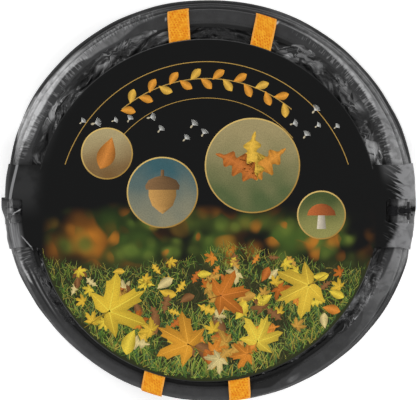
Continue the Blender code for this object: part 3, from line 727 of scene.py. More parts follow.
@dataclass(frozen=True)
class ClothFinish:
    """Coated woven polyester.

    Args:
        name: Name of the material.
        colour: Its own colour.
        haze: Colour of the painted highlight on the taut coating.
        shadow: Colour of the painted shade where the painted-light mark falls below 0.
        speck_colour: Colour of its fine pale specks.
        cut: Colour inside the hem's cut edge, where the black wall cloth shows, darkened further as painted shade of
            the recess.
        roughness: Roughness of the weave.
        coat: Weight of the coating.
        coat_roughness: Roughness of the coating.
        thread: Width of one thread in metres.
        mottle: How much its colour varies.
        fleck: How much of the fine pale specks shows.
        crease: Depth of its fine creases in metres.
        crumpled: Whether crisp folds cross it, with painted highlights on them.
    """

    name: str
    colour: Colour
    haze: Colour = (0.60, 0.60, 0.605)
    shadow: Colour = (0.006, 0.006, 0.006)
    speck_colour: Colour = (0.30, 0.30, 0.30)
    cut: Colour = (0.004, 0.004, 0.004)
    roughness: float = 0.6
    coat: float = 0.0
    coat_roughness: float = 0.25
    thread: float = 0.0006
    mottle: float = 0.22
    fleck: float = 0.10
    crease: float = 0.0003
    crumpled: bool = False

    def crumples(self, made: Nodes, unrolled: Signal) -> tuple[Signal, Signal]:
        """Painted highlights on crisp folds that run along the rim, and their relief.

        Args:
            made: The material's nodes.
            unrolled: The cloth's own map, in metres.

        Returns:
            The painted highlight at each place, and its height.
        """
        drift = made.read("TexNoise", "Color", Vector=unrolled, Scale=42.0, Detail=2.0)
        moved = made.node("VectorMath", {"operation": "MULTIPLY_ADD"})
        for socket, value in zip(moved.inputs, (drift, (0.016, 0.016, 0.016), unrolled)):
            made.feed(socket, value)
        along, across, _ = Signal(made, moved.outputs[0]).parts()
        slanted = along + across * 0.8
        lights, heights = [], []
        for length, width, weight in ((0.0300, 0.0100, 1.0), (0.0130, 0.0046, 0.55)):
            cell = made.join(slanted / length, across / width)
            faces, edges = (
                made.node("TexVoronoi", {"feature": feature, "voronoi_dimensions": "2D"}, Vector=cell, Scale=1.0)
                for feature in ("F1", "DISTANCE_TO_EDGE")
            )
            middle, edge = (Signal(made, cells.outputs["Distance"]) for cells in (faces, edges))
            red, green, _ = Signal(made, faces.outputs["Color"]).parts("Color")
            face = (red.ramp(0.72, 0.80, 0.0, 1.3 * weight) * middle.ramp(0.90, 0.20, 0.35, 1.0)
                    * edge.ramp(0.02, 0.06, 0.1, 1.0))
            lights.append(face.most(edge.ramp(0.09, 0.02) * green.ramp(0.45, 0.80, 0.0, 1.3 * weight)))
            heights.append(middle * weight)
        crest = abs(made.join(slanted * 34.0, across * 95.0).noise(1.0, 1.0, 0.9) - 0.5)
        crest_highlights = crest.ramp(0.034, 0.014, 0.0, 1.5) * unrolled.noise(45.0).ramp(0.42, 0.54)
        facet_highlights = lights[0].most(lights[1]) * crest.ramp(0.020, 0.070, 0.30, 1.0)
        return facet_highlights.most(crest_highlights), heights[0] + heights[1]

    def build(self) -> bpy.types.Material:
        """Makes the material."""
        made = Nodes(self.name, self.roughness, coat=self.coat, coat_roughness=self.coat_roughness, specular=0.35)
        place, unrolled = made.place(), made.unrolled()
        haze, pucker = made.attribute("haze"), made.attribute("pucker")
        along, across, _ = unrolled.parts()
        weave = (along * (math.pi / self.thread)).sine() * (across * (math.pi / self.thread)).sine()
        dark, light = (shade(self.colour, 1.0 + part * self.mottle) for part in (-1.0, 1.0))
        ground = place.noise(70.0, 5.0).ramp(0.3, 0.7).blend(dark, light)
        threads = weave.ramp(-1.0, 1.0, 0.0, 0.35).blend(ground, dark)
        flecked = place.noise(520.0, 1.0).ramp(0.69, 0.78, 0.0, self.fleck).blend(threads, self.speck_colour)
        streaks = made.join(along * 420.0, across * 75.0).noise(1.0, 2.0, 0.3)
        # Puckers: painted highlight on their raised streaks and painted shade on their sunk ones, besides their
        # relief.
        raised, pucker_shade = streaks.ramp(0.50, 0.64) * pucker, streaks.ramp(0.46, 0.36) * pucker
        fine = weave * 0.2 + place.noise(240.0, 4.0, 0.5)
        # Painted highlight facets: crisp folds on crumpled cloth, soft patches elsewhere.
        if self.crumpled:
            facet_highlights, folds = self.crumples(made, unrolled)
            fine = fine - folds
        else:
            facet_highlights = place.noise(85.0, 3.0, 0.8).ramp(0.35, 0.62, 0.62, 1.1)
        # Painted highlights from the mark on the facets and pucker streaks, then painted shade where the mark is below
        # 0.
        lit = (haze * facet_highlights + raised * 0.30) * (1.0 - pucker_shade * 0.8)
        shaded = haze.ramp(0.0, -1.0).blend(flecked, self.shadow)
        with_painted_light = lit.capped().blend(shaded, self.haze)
        # Inside the hem's cut edge the black wall cloth is darkened further, as painted shade of the recess.
        made.put("Base Color", made.attribute("allowance").blend(with_painted_light, self.cut))
        made.relief(fine + streaks * pucker * 3.0, self.crease)
        return made.material


@dataclass(frozen=True)
class WebbingFinish:
    """Woven webbing with a knobbly twill.

    Args:
        name: Name of the material.
        colour: Colour of the raised yarn.
        groove: Colour between the yarns.
        width: Width between its selvedges in metres.
        pitch: Distance between the twill's ribs in metres.
        roughness: Roughness of the yarn.
        haze: Colour of its painted highlight.
    """

    name: str
    colour: Colour
    groove: Colour
    width: float = 0.0265
    pitch: float = 0.0019
    roughness: float = 0.8
    haze: Colour = (0.60, 0.60, 0.605)

    def build(self) -> bpy.types.Material:
        """Makes the material."""
        made = Nodes(self.name, self.roughness, specular=0.1, sheen=0.05)
        unrolled = made.unrolled()
        along, across, _ = unrolled.parts()
        wobble = unrolled.noise(150.0, 3.0) * (4.0 * self.pitch)
        first, second = (((along + across * sign + wobble) * (math.sqrt(0.5) * math.pi / pitch)).sine()
                         for sign, pitch in ((1.0, 2.0 * self.pitch), (-1.0, self.pitch)))
        raised = (first * second).ramp(-0.80, -0.10).most(unrolled.noise(75.0).ramp(0.35, 0.65, 0.0, 0.75))
        glow = max(self.colour)
        wear_and_glare = unrolled.noise(170.0, 4.0).ramp(0.35, 0.68)
        yarn = wear_and_glare.blend(shade(self.colour, 0.88), shade(self.colour, 1.3, 0.01 * glow))
        flat = 0.5 * self.width
        # Painted highlight along both selvedges.
        selvedge_highlight = abs(across - flat).ramp(flat - 0.0022, flat - 0.0010, 0.0, 0.45)
        bound = selvedge_highlight.blend(raised.blend(self.groove, yarn), shade(self.colour, 1.1, 0.10 * glow))
        # Painted highlight where the rim's marks cross the webbing.
        made.put("Base Color", made.attribute("haze").blend(bound, self.haze))
        made.relief(raised, 0.00035)
        return made.material


@dataclass(frozen=True)
class PlainFinish:
    """A moulded, drawn or spun surface with fine variation.

    Args:
        name: Name of the material.
        colour: Its colour.
        roughness: Its mean roughness.
        metallic: 1 on metal.
        haze: Colour of its painted highlight.
        grain: Size of its grain, as a noise scale.
        depth: Depth of its relief in metres.
    """

    name: str
    colour: Colour
    roughness: float
    metallic: float = 0.0
    haze: Colour = (0.55, 0.55, 0.555)
    grain: float = 500.0
    depth: float = 0.00003

    def build(self) -> bpy.types.Material:
        """Makes the material."""
        made = Nodes(self.name, self.roughness, self.metallic)
        place = made.place()
        grain = place.noise(self.grain, 3.0)
        bare = grain.ramp(0.3, 0.7).blend(shade(self.colour, 0.75), self.colour)
        # Painted highlight where the rim's marks cross it.
        made.put("Base Color", made.attribute("haze").blend(bare, self.haze))
        made.put("Roughness", place.noise(0.3 * self.grain).ramp(0.2, 0.8, 0.8 * self.roughness,
                                                                 min(1.0, 1.2 * self.roughness)))
        made.relief(grain, self.depth)
        return made.material


@dataclass(frozen=True)
class BraidFinish:
    """Braided elastic cord.

    Args:
        name: Name of the material.
        colour: Colour of the raised yarn.
        groove: Colour between the yarns.
        haze: Colour of its painted highlight.
        pitch: Distance between its ribs in metres.
    """

    name: str = "elastic_braid"
    colour: Colour = (0.020, 0.020, 0.021)
    groove: Colour = (0.004, 0.004, 0.004)
    haze: Colour = (0.60, 0.60, 0.605)
    pitch: float = 0.0016

    def build(self) -> bpy.types.Material:
        """Makes the material."""
        made = Nodes(self.name, 0.7, specular=0.3, sheen=0.1)
        along, across, _ = made.unrolled().parts()
        left, right = (((along + across * sign) * (FULL_TURN / self.pitch)).sine() for sign in (1.0, -1.0))
        braid = left.most(right).ramp(0.0, 1.0)
        # Painted highlight where the rim's marks cross the loop.
        made.put("Base Color", made.attribute("haze").blend(braid.blend(self.groove, self.colour), self.haze))
        made.relief(braid, 0.00012)
        return made.material


@dataclass(frozen=True)
class CardFinish:
    """Varnished black board with a soft autumn blur across its middle, and painted glare over the rim.

    Args:
        name: Name of the material.
        black: The printed black.
        soil: Colour of the ground under the grass.
        horizon: Height on the card where the ground begins.
        blur_top: Height at which the blur has faded out.
        glare_colour: Colour of the painted glare on the taut varnish.
        blurs: Scale, shift and strength of each layer of out-of-focus lights.
    """

    name: str = "printed_board"
    black: Colour = (0.0060, 0.0062, 0.0062)
    soil: Colour = (0.030, 0.036, 0.012)
    horizon: float = -0.080
    blur_top: float = -0.004
    glare_colour: Colour = (0.265, 0.265, 0.270)
    blurs: tuple[Row, ...] = ((20.0, 0.0, 0.85), (34.0, 3.7, 0.85), (52.0, 8.2, 0.75))

    def build(self) -> bpy.types.Material:
        """Makes the material."""
        made = Nodes(self.name, 0.55, coat=0.08, coat_roughness=0.15, specular=0.12)
        place = made.place()
        x, y, _ = place.parts()
        reach = made.node("VectorMath", {"operation": "LENGTH"})
        made.feed(reach.inputs[0], made.join(x, y))
        # Painted glare over both tabs.
        haze = self.painted_glare(made, place, x, y, Signal(made, reach.outputs["Value"]))
        made.put("Base Color", haze.blend(self.print_colour(made, place, x, y), self.glare_colour))
        made.relief(place.noise(200.0, 3.0), 0.00002)
        return made.material

    def print_colour(self, made: Nodes, place: Signal, x: Signal, y: Signal) -> Signal:
        """The black field, and the out-of-focus lights over the ground.

        Args:
            made: The material's nodes.
            place: The place on the card.
            x: Its first number.
            y: Its second.

        Returns:
            The printed colour.
        """
        lights: Signal | Colour = self.black
        for scale, seed, strength in self.blurs:
            shifted = made.read("Mapping", "Vector", Vector=place, Location=(seed, seed, 0.0))
            cells = made.node("TexVoronoi", {"feature": "SMOOTH_F1", "voronoi_dimensions": "2D"}, Scale=scale,
                              Smoothness=1.0, Vector=shifted)
            red, green, blue = Signal(made, cells.outputs["Color"]).parts("Color")
            spot = Signal(made, cells.outputs["Distance"]).ramp(0.66, 0.10)
            leafy = blue.blend((0.045, 0.095, 0.016), (0.200, 0.260, 0.040))
            hue = red.ramp(0.46, 0.60).blend(leafy, (0.60, 0.215, 0.022))
            lights = (spot * green.ramp(0.15, 0.85, 0.0, strength)).blend(lights, hue)
        rise = (y + place.noise(12.0, 1.0) * 0.045).ramp(self.blur_top + 0.022, self.horizon + 0.062)
        within = abs(x).ramp(0.185, 0.225, 1.0, 0.0)
        dim = place.noise(14.0).ramp(0.30, 0.52, 0.15, 1.0).blend(self.black, lights)
        ground = y.ramp(self.horizon - 0.015, self.horizon + 0.010, 1.0, 0.0)
        return ground.blend((rise * within).blend(self.black, dim), self.soil)

    def painted_glare(self, made: Nodes, place: Signal, x: Signal, y: Signal, distance: Signal) -> Signal:
        """Where glare is painted over the taut varnish, on both tabs.

        Args:
            made: The material's nodes.
            place: The place on the card.
            x: Its first number.
            y: Its second.
            distance: Its distance from the bag's middle.

        Returns:
            How strong the painted glare is, from 0 to 1.
        """
        # Every mask here is painted glare: bands, fringes, bright lines and faint patches of painted highlight.
        short = made.join(distance * 45.0, (y + abs(x) * 0.55) * 300.0).noise(1.0, 3.0, 0.5)
        long = made.join(distance * 420.0, y * 30.0).noise(1.0, 3.0, 0.4)
        wear_and_glare = place.noise(85.0, 3.0, 0.8).ramp(0.30, 0.62, 0.68, 1.1)
        lean = distance + y.ramp(-0.043, -0.062) * 0.0065
        ragged = short.ramp(0.38, 0.66, -1.0, 1.0) * y.ramp(-0.040, -0.020, 0.001, 0.006)
        band = (lean + ragged).ramp(0.2485, 0.2580) * wear_and_glare * y.ramp(-0.060, 0.010, 0.80, 1.0)
        fringe = distance.ramp(0.234, 0.248) * short.ramp(0.52, 0.64, 0.0, 0.30) * y.ramp(-0.058, -0.045)
        veil_glare = y.ramp(0.016, 0.046, 0.0, 0.20) * distance.ramp(0.228, 0.240)
        on_right = x.ramp(0.0, 0.02) * band.most(fringe + veil_glare)
        slid = abs(distance - y.ramp(0.052, -0.014, 0.2598, 0.2660))
        line = slid.ramp(0.0024, 0.0006) * y.ramp(-0.024, 0.004, 1.0, 1.9) * y.ramp(0.050, 0.030, 0.6, 1.0)
        ridge_glint = abs((x + 0.2490) * 0.752 + (y + 0.0490) * 0.658)
        ridge_glint = ridge_glint.ramp(0.0011, 0.0003, 0.0, 1.2) * y.ramp(-0.044, -0.052) * y.ramp(-0.066, -0.062)
        edge = distance.ramp(0.2660, 0.2690, 0.0, 0.16)
        below = y.ramp(-0.022, -0.036) * distance.ramp(0.2500, 0.2600) * long.ramp(0.30, 0.65, 0.30, 0.85)
        smoky_glare = place.noise(30.0, 3.0).ramp(0.35, 0.65, 0.02, 0.10) * distance.ramp(0.215, 0.240)
        faint_glare = below.most(smoky_glare * y.ramp(-0.030, 0.015))
        on_left = x.ramp(0.0, -0.02) * line.most(ridge_glint).most(edge).most(faint_glare)
        return (on_right + on_left).capped()


@dataclass(frozen=True)
class InkFinish:
    """Printed colours kept on the vertices.

    Args:
        name: Name of the material.
        roughness: Roughness of the print.
        coat: Weight of its varnish.
        grain: How much fine speckle shows.
    """

    name: str
    roughness: float = 0.45
    coat: float = 0.15
    grain: float = 0.25

    def build(self) -> bpy.types.Material:
        """Makes the material."""
        made = Nodes(self.name, self.roughness, coat=self.coat, coat_roughness=0.12, specular=0.2)
        speckle = made.place().noise(700.0).ramp(0.3, 0.75, 0.0, self.grain)
        made.put("Base Color", speckle.blend(made.attribute("ink", "Color"), (0.0, 0.0, 0.0)))
        return made.material


Recipe = ClothFinish | WebbingFinish | PlainFinish | BraidFinish | CardFinish | InkFinish


def made_from(recipe: Recipe, slot: Slot) -> Finish:
    """A field whose material is made from a recipe when the finishes are."""
    return field(default_factory=lambda: Finish(recipe.build(), slot))


@dataclass
class Finishes:
    """Every finish of the bag, made once."""

    hem: Finish = made_from(ClothFinish("hem_cloth_grey", (0.033, 0.033, 0.034), coat=0.05), Slot.HEM_CLOTH)
    coil: Finish = made_from(ClothFinish("coil_hem_cloth", (0.022, 0.022, 0.023), coat=0.05), Slot.HEM_CLOTH)
    fold: Finish = made_from(ClothFinish("folded_cloth", (0.0065, 0.0065, 0.007), roughness=0.42, coat=0.35,
                                         coat_roughness=0.14, fleck=0.0, crease=0.0008, crumpled=True),
                             Slot.COATED_CLOTH)
    wall: Finish = made_from(ClothFinish("wall_cloth_black", (0.012, 0.012, 0.0125), coat=0.1, fleck=0.0),
                             Slot.COATED_CLOTH)
    thread: Finish = made_from(PlainFinish("sewing_thread", (0.012, 0.012, 0.012), 0.7, depth=0.00001),
                               Slot.HEM_CLOTH)
    orange: Finish = made_from(WebbingFinish("orange_webbing", (1.0, 0.350, 0.016), (0.82, 0.170, 0.006)),
                               Slot.ORANGE_WEBBING)
    black: Finish = made_from(WebbingFinish("black_webbing", (0.011, 0.011, 0.012), (0.003, 0.003, 0.003), 0.0118,
                                            0.0014), Slot.BLACK_WEBBING)
    braid: Finish = made_from(BraidFinish(), Slot.ELASTIC_CORD)
    plastic: Finish = made_from(PlainFinish("toggle_moulding", (0.012, 0.012, 0.0125), 0.38), Slot.TOGGLE_PLASTIC)
    wire: Finish = made_from(PlainFinish("spring_steel", (0.42, 0.42, 0.43), 0.35, 1.0, grain=900.0,
                                         depth=0.00001), Slot.SPRING_WIRE)
    ferrule: Finish = made_from(PlainFinish("crimped_aluminium", (0.70, 0.70, 0.72), 0.40, 1.0, grain=300.0,
                                            depth=0.00004), Slot.FERRULE)
    card: Finish = made_from(CardFinish(), Slot.DISPLAY_CARD)
    ink: Finish = made_from(InkFinish("printed_ink"), Slot.DISPLAY_CARD)
    gold: Finish = made_from(InkFinish("gold_foil", 0.35, 0.3, 0.10), Slot.DISPLAY_CARD)


@dataclass
class Hem:
    """The turned cloth channel round a wire, and how it is laid out.

    Args:
        stack: Sizes of the stack.
        finishes: The bag's finishes.
        shine: Where painted highlights and painted shade lie on its coating.
        edge_height: Thickness at its inner edge.
        seam_width: Width of the turned-in cloth inside its seam.
        belly: How far its slope swells over a straight one.
    """

    stack: Stack
    finishes: Finishes
    shine: Shine
    edge_height: float = 0.0019
    seam_width: float = 0.0045
    belly: float = 0.0011

    @property
    def seam(self) -> float:
        """Distance from the hem's outer edge in to its seam."""
        return self.stack.hem_width - self.seam_width

    def slope(self, inside: float) -> float:
        """Height of the hem's upper side over its underside, at a distance inside the channel's middle."""
        share = min(1.0, max(0.0, inside / (self.seam - self.stack.tube)))
        level = between(2.0 * self.stack.tube, self.edge_height + self.stack.fit, share)
        return level + self.belly * math.sin(math.pi * share)

    def section(self, slope_points: int, arc_steps: int = 10) -> list[Point]:
        """The closed section: outwards from the rim's edge, and up from the hem's underside.

        Args:
            slope_points: Points down its slope.
            arc_steps: Steps round its outer side.

        Returns:
            The section's outline.
        """
        tube, width = self.stack.tube, self.stack.hem_width
        outer = arc_points((-tube, tube), tube, -RIGHT_ANGLE, RIGHT_ANGLE, arc_steps)
        runs = [(self.seam - tube) * (k + 1) / slope_points for k in range(slope_points)]
        allowance = [(-width + self.seam_width * (1.0 - k / 3.0), self.edge_height) for k in range(1, 4)]
        under = [(-width + (width - tube) * k / 4.0, 0.0) for k in range(4)]
        return [*outer, *((-tube - run, self.slope(run)) for run in runs), *allowance, *under]

    def dress(self, bm: BMesh, radius: float, centre_y: float, ripple: float) -> None:
        """Ruffles the cloth's upper side and marks its painted highlights and painted shade, where it puckers, and
        where it is cut and darkened as painted shade.

        Args:
            bm: The hem's mesh, in place.
            radius: Radius of its rim.
            centre_y: Centre of its rim.
            ripple: Height of the ripples.
        """
        self.shine.mark(bm)
        tick, cut = bm.verts.layers.float["pucker"], bm.verts.layers.float.new("allowance")
        bm.normal_update()
        for vert in bm.verts:
            x, y, _ = vert.co
            inside = radius - math.hypot(x, y - centre_y)
            # Marks the cloth inside the seam, which its finish darkens as painted shade of the recess.
            vert[cut] = ease(self.seam - 0.0012, self.seam, inside)
            short = bumps(85.0 * math.atan2(y - centre_y, x), 90.0 * inside, 11.0)
            ripples = 0.8 * bumps(x, y, 3.0, 22.0) + 0.4 * bumps(x, y, 7.0, 120.0)
            if vert.normal.z > -0.3:
                vert.co += vert.normal * (ripple * ripples + 0.0010 * vert[tick] * short)


@dataclass
class Rims:
    """The base rim and the top rim, each a hem round its hoop of wire.

    Args:
        hem: The hem's layout.
        stitch_pitch: From one stitch to the next.
        stitch_length: Length of a stitch.
        stitch_inset: From the seam out to the stitches.
        thread: Radius of their thread.
    """

    hem: Hem
    stitch_pitch: float = 0.0042
    stitch_length: float = 0.0030
    stitch_inset: float = 0.0035
    thread: float = 0.00035

    def build(self) -> None:
        """Builds both hems with their stitching and dresses what they hold."""
        finishes = self.hem.finishes
        self.build_hem(Body.TOP, 1.0, 2000, self.hem.section(20, 14), 0.0004, finishes.hem)
        self.build_hem(Body.BASE, 0.0, 720, self.hem.section(6), 0.0002, finishes.coil)
        self.build_stitches()
        for name, finish in (
            ("base_hoop_wire", finishes.wire),
            ("top_hoop_wire", finishes.wire),
            ("base_ferrule", finishes.ferrule),
            ("top_ferrule", finishes.ferrule),
            ("spiral_end_cap_lower", finishes.plastic),
            ("spiral_end_cap_upper", finishes.plastic),
        ):
            materials = FRAME["nodes"][name].data.materials
            materials.clear()
            materials.append(finish.material)

    def build_hem(self, body: Body, share: float, count: int, section: list[Point], ripple: float,
                  finish: Finish) -> None:
        """Builds one rim's hem.

        Args:
            body: The body that it rides on.
            share: Its level in the stack, from the base at 0 to the top at 1.
            count: Faces round it.
            section: Its section.
            ripple: Height of its ripples.
            finish: Its finish.
        """
        stack = self.hem.stack
        radius, centre_y = stack.ring(share)
        bm = sweep(ring_stations(radius, centre_y, share * stack.top_z, count), section, True)
        stack.spread(bm, share)
        self.hem.dress(bm, radius, centre_y, ripple)
        add_piece(f"{body.value}_hem_cloth", bm, finish, body, (f"{body.value}_hem",))

    def build_stitches(self) -> None:
        """The row of stitches that closes the top hem's channel, just outside its cut edge."""
        stack = self.hem.stack
        inside = self.hem.seam - self.stitch_inset
        reach = stack.top_radius - inside
        count = round(FULL_TURN * reach / self.stitch_pitch)
        middle = Vector((0.0, stack.top_shift, stack.top_z + self.hem.slope(inside - stack.tube) + 0.3 * self.thread))
        bm = bmesh.new()
        for angle in (FULL_TURN * k / count for k in range(count)):
            made = bmesh.ops.create_icosphere(bm, subdivisions=1, radius=self.thread)["verts"]
            bmesh.ops.scale(bm, verts=made, vec=(1.0, 0.5 * self.stitch_length / self.thread, 0.8))
            bmesh.ops.rotate(bm, verts=made, cent=(0.0, 0.0, 0.0), matrix=Matrix.Rotation(angle, 3, "Z"))
            bmesh.ops.translate(bm, verts=made, vec=middle + reach * outward(angle))
        stack.spread(bm, 1.0)
        add_piece("top_hem_stitches", bm, self.hem.finishes.thread, Body.TOP)


@dataclass
class Coil:
    """The spiral hem with its spring wire, in short lengths that spread up the bag as it opens.

    Args:
        hem: The hem's layout.
        per_turn: Lengths in one turn.
        steps: Faces along one length.
        wire_radius: Radius of the wire.
        end_ease: How much its ends hold back as the bag opens.
    """

    hem: Hem
    per_turn: int = 12
    steps: int = 10
    wire_radius: float = 0.0016
    end_ease: float = 0.6

    def rise(self, share: float) -> float:
        """Share of the bag's opening that a place along the coil takes part in."""
        return share - self.end_ease * math.sin(FULL_TURN * share) / FULL_TURN

    def height(self, share: float) -> float:
        """Height of the coil's underside at a share of its length."""
        stack = self.hem.stack
        return between(stack.coil_low, stack.coil_high - 2.0 * stack.tube, share)

    def station(self, share: float) -> Station:
        """The place on the coil at a share of its length."""
        stack, z = self.hem.stack, self.height(share)
        radius, centre_y = stack.ring(z / stack.top_z)
        turned = FULL_TURN * stack.turns * share
        out = outward(stack.start_angle + turned)
        return Station(radius * out + Vector((0.0, centre_y, z)), out, UP, radius * turned)

    def build(self) -> None:
        """Builds every length of hem and wire."""
        stack, finishes = self.hem.stack, self.hem.finishes
        count = round(stack.turns * self.per_turn)
        outline = self.hem.section(5)
        wire = round_section(self.wire_radius, 10, (-stack.tube, stack.tube))
        for k in range(count):
            shares = [(k + step / self.steps) / count for step in range(self.steps + 1)]
            stations = [self.station(share) for share in shares]
            cloth, core = sweep(stations, outline), sweep(stations, wire)
            stack.spread(cloth, self.height(shares[0]) / stack.top_z)
            self.hem.shine.mark(cloth)
            for node, bm, finish in (("spiral_hem", cloth, finishes.coil), ("spiral_wire", core, finishes.wire)):
                piece = add_piece(f"{node}_{k + 1:02d}", bm, finish, None, (node,))
                self.bend(piece, stations, shares)

    def bend(self, piece: bpy.types.Object, stations: list[Station], shares: list[float]) -> None:
        """Lets one length bend between the base and the top.

        Args:
            piece: The length.
            stations: Places along it.
            shares: Their shares of the coil's length.
        """
        begin, stop = (ends.place - self.hem.stack.tube * ends.across for ends in (stations[0], stations[-1]))
        begin.z = stop.z = 0.5 * (begin.z + stop.z)
        low, high = (unease(self.rise(share)) for share in (shares[0], shares[-1]))
        whole = (stop - begin) / (high - low)
        start = begin - whole * low
        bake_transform(piece, Body.BASE.value, Body.TOP.value, start=tuple(start), end=tuple(start + whole))


@dataclass
class WallCloth:
    """The bag's wall: a sleeve that gathers behind the hems, and its slack folded in over the base.

    Args:
        hem: The hem's layout.
        columns: Faces round the sleeve.
        rows: Faces up the sleeve.
        hollow: How far the open wall is drawn in between the coil's turns.
        pleats: Leaves of slack over the base.
        pleat_inner: Radius to which they reach in.
        pleat_outer: Radius to which they reach out.
        pleat_anchor: Radius of a point worked out for each leaf, which nothing then uses.
        rim_columns: Faces round the cloth at the rim.
        rim_rows: Faces across it.
        rim_inner: Radius of its inner edge, under the card.
        rim_outer: Radius of its outer edge, tucked under the hem.
        overlap: How much farther it reaches where it bulges over the hem.
        valley_z: Height between its folds.
        ceiling_z: Height that its folds stay under.
        bulges: Where it bulges over the hem, in degrees.
        lit: Where its folds carry painted highlights, in degrees.
        slit: Where the hem's own gleam runs on over it, in degrees.
        taut: Where it is pulled taut, with painted highlights.
        base_thick: Thickness of the base cloth.
        base_crease: Height of the base cloth's creases.
    """

    hem: Hem
    columns: int = 360
    rows: int = 90
    hollow: float = 0.0050
    pleats: int = 24
    pleat_inner: float = 0.1215
    pleat_outer: float = 0.2200
    pleat_anchor: float = 0.2360
    rim_columns: int = 1500
    rim_rows: int = 34
    rim_inner: float = 0.2080
    rim_outer: float = 0.2395
    overlap: float = 0.0090
    valley_z: float = 0.0365
    ceiling_z: float = 0.0396
    bulges: tuple[Point, ...] = ((102.0, 170.0), (12.0, 66.0), (-50.0, -14.0), (196.0, 226.0))
    lit: tuple[Point, ...] = ((100.0, 172.0), (-52.0, 76.0), (184.0, 262.0))
    slit: Point = (194.0, 199.0)
    taut: Shine = Shine(gleams=(
        Gleam(((49, 230, 8, 0), (55, 233, 12, 0.26), (63, 230, 14, 0.36), (70, 227, 10, 0)), 0.6),
        Gleam(((143, 236, 5, 0), (149, 238, 6.5, 0.5), (155, 239, 5, 0.3), (159, 238, 4, 0)), 0.5),
        Gleam(((12, 228, 5, 0), (16, 232, 7.5, 0.36), (23, 229, 6, 0.12), (27, 228, 4, 0)), 0.5),
    ))
    base_thick: float = 0.0009
    base_crease: float = 0.00035

    def build(self) -> None:
        """Builds the sleeve, the folds inside it, the crumpled cloth at the rim and the base."""
        self.build_sleeve()
        self.build_pleats()
        self.build_rim_cloth()
        self.build_base_cloth()

    def sleeve_radius(self, angle: float, share: float) -> float:
        """Radius of the open wall, drawn in between the coil's turns.

        Args:
            angle: Direction from the bag's middle.
            share: Height, from the base at 0 to the top at 1.

        Returns:
            The radius.
        """
        stack = self.hem.stack
        phase = ((angle - stack.start_angle) / FULL_TURN) % 1.0
        laps = [phase + k for k in range(math.ceil(stack.turns - phase))]
        stops = [0.0, *(Coil(self.hem).rise(lap / stack.turns) for lap in laps), 1.0]
        low = max(stop for stop in stops if stop <= share + 1e-9)
        high = min((stop for stop in stops if stop > share + 1e-9), default=1.0)
        span = max(1e-6, high - low)
        arch = math.sin(math.pi * (share - low) / span)
        drawn = self.hollow * arch * min(1.0, 4.0 * span)
        slack = bumps(*polar(7.0, angle), 9.0 * share)
        diagonal = bumps(9.0 * angle + 14.0 * share, 3.0 * share, 5.0)
        return stack.ring(share)[0] - stack.tube - drawn * (0.7 + 0.6 * slack) - 0.0012 * diagonal * arch

    def build_sleeve(self) -> None:
        """The wall as one sleeve, gathered at rest and smooth when the bag is open."""
        stack = self.hem.stack
        low_z, high_z = stack.tube, stack.top_z + stack.tube

        def place(u: float, v: float) -> Vector:
            """A point of the gathered wall."""
            angle = FULL_TURN * (u % 1.0)
            flat = polar(self.sleeve_radius(angle, v), angle, (0.0, stack.ring(v)[1]))
            return Vector((*flat, between(low_z, high_z, unease(v))))

        travel = find_joint("pop_up")["range_m"][1]
        bm = mapped_grid(self.columns, self.rows, place, (FULL_TURN * stack.base_radius, travel + high_z))
        close_up(bm)
        bm.verts.layers.float.new("haze")
        piece = add_piece("wall_sleeve", bm, self.hem.finishes.wall, None, ("wall_cloth",))
        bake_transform(piece, Body.BASE.value, Body.TOP.value, start=(0.0, 0.0, low_z), end=(0.0, 0.0, high_z))

    def fold(self, x: float, y: float) -> float:
        """Height of the crumples at a place, from -1 to 1."""
        reach = math.hypot(x, y)
        swirl = Vector((17.0 * math.atan2(y, x) + 90.0 * reach + 1.21 * bumps(x, y, 1.0, 38.0),
                        42.0 * reach + 1.21 * bumps(x, y, 5.0, 38.0), 0.0))
        ridges, small = (1.0 - 2.0 * abs(noise.noise(where))
                         for where in (swirl, 2.3 * swirl + Vector((4.0, 9.0, 2.0))))
        return 0.65 * ridges + 0.35 * small - 0.35

    def leaf(self, first: float, last: float, middle_z: float, depth: float, u: float, v: float) -> Vector:
        """A point of one folded leaf of the wall.

        Args:
            first: Direction of its first edge.
            last: Direction of its last edge.
            middle_z: Its mean height.
            depth: Depth of its folds.
            u: How far the point is from the first edge to the last, from 0 to 1.
            v: How far out it is, from 0 to 1.

        Returns:
            The point.
        """
        angle = between(first, last, u)
        sway = 0.004 * (1.0 - v) * math.sin(5.0 * angle + 30.0 * u)
        x, y = polar(between(self.pleat_inner, self.pleat_outer, v) + sway, angle)
        return Vector((x, y, middle_z + depth * self.fold(x, y)))

    def build_pleats(self) -> None:
        """The slack folded in over the base, in leaves that ride on the top."""
        low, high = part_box("wall_cloth")
        middle_z, half_z = 0.5 * (low.z + high.z), 0.5 * (high.z - low.z)
        size = (FULL_TURN * self.pleat_outer / self.pleats, self.pleat_outer - self.pleat_inner)
        for k in range(self.pleats):
            first, last = (FULL_TURN * (k + n) / self.pleats for n in (0.02, 0.98))
            place = partial(self.leaf, first, last, middle_z + 0.35 * half_z, 0.45 * half_z)
            bm = mapped_grid(22, 26, place, size)
            bmesh.ops.solidify(bm, geom=bm.faces, thickness=0.0006)
            haze = bm.verts.layers.float.new("haze")
            # Random patches of painted highlight on the folded leaves.
            for vert in bm.verts:
                vert[haze] = max(0.0, 0.5 * bumps(*vert.co.xy, 2.0, 60.0))
            piece = add_piece(f"folded_wall_{k + 1:02d}", bm, self.hem.finishes.fold, Body.TOP, ("wall_cloth",), 80.0)
            out = outward(0.5 * (first + last))
            anchor = self.pleat_anchor * out + Vector((0.0, self.hem.stack.top_shift, 0.0))
            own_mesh(piece)

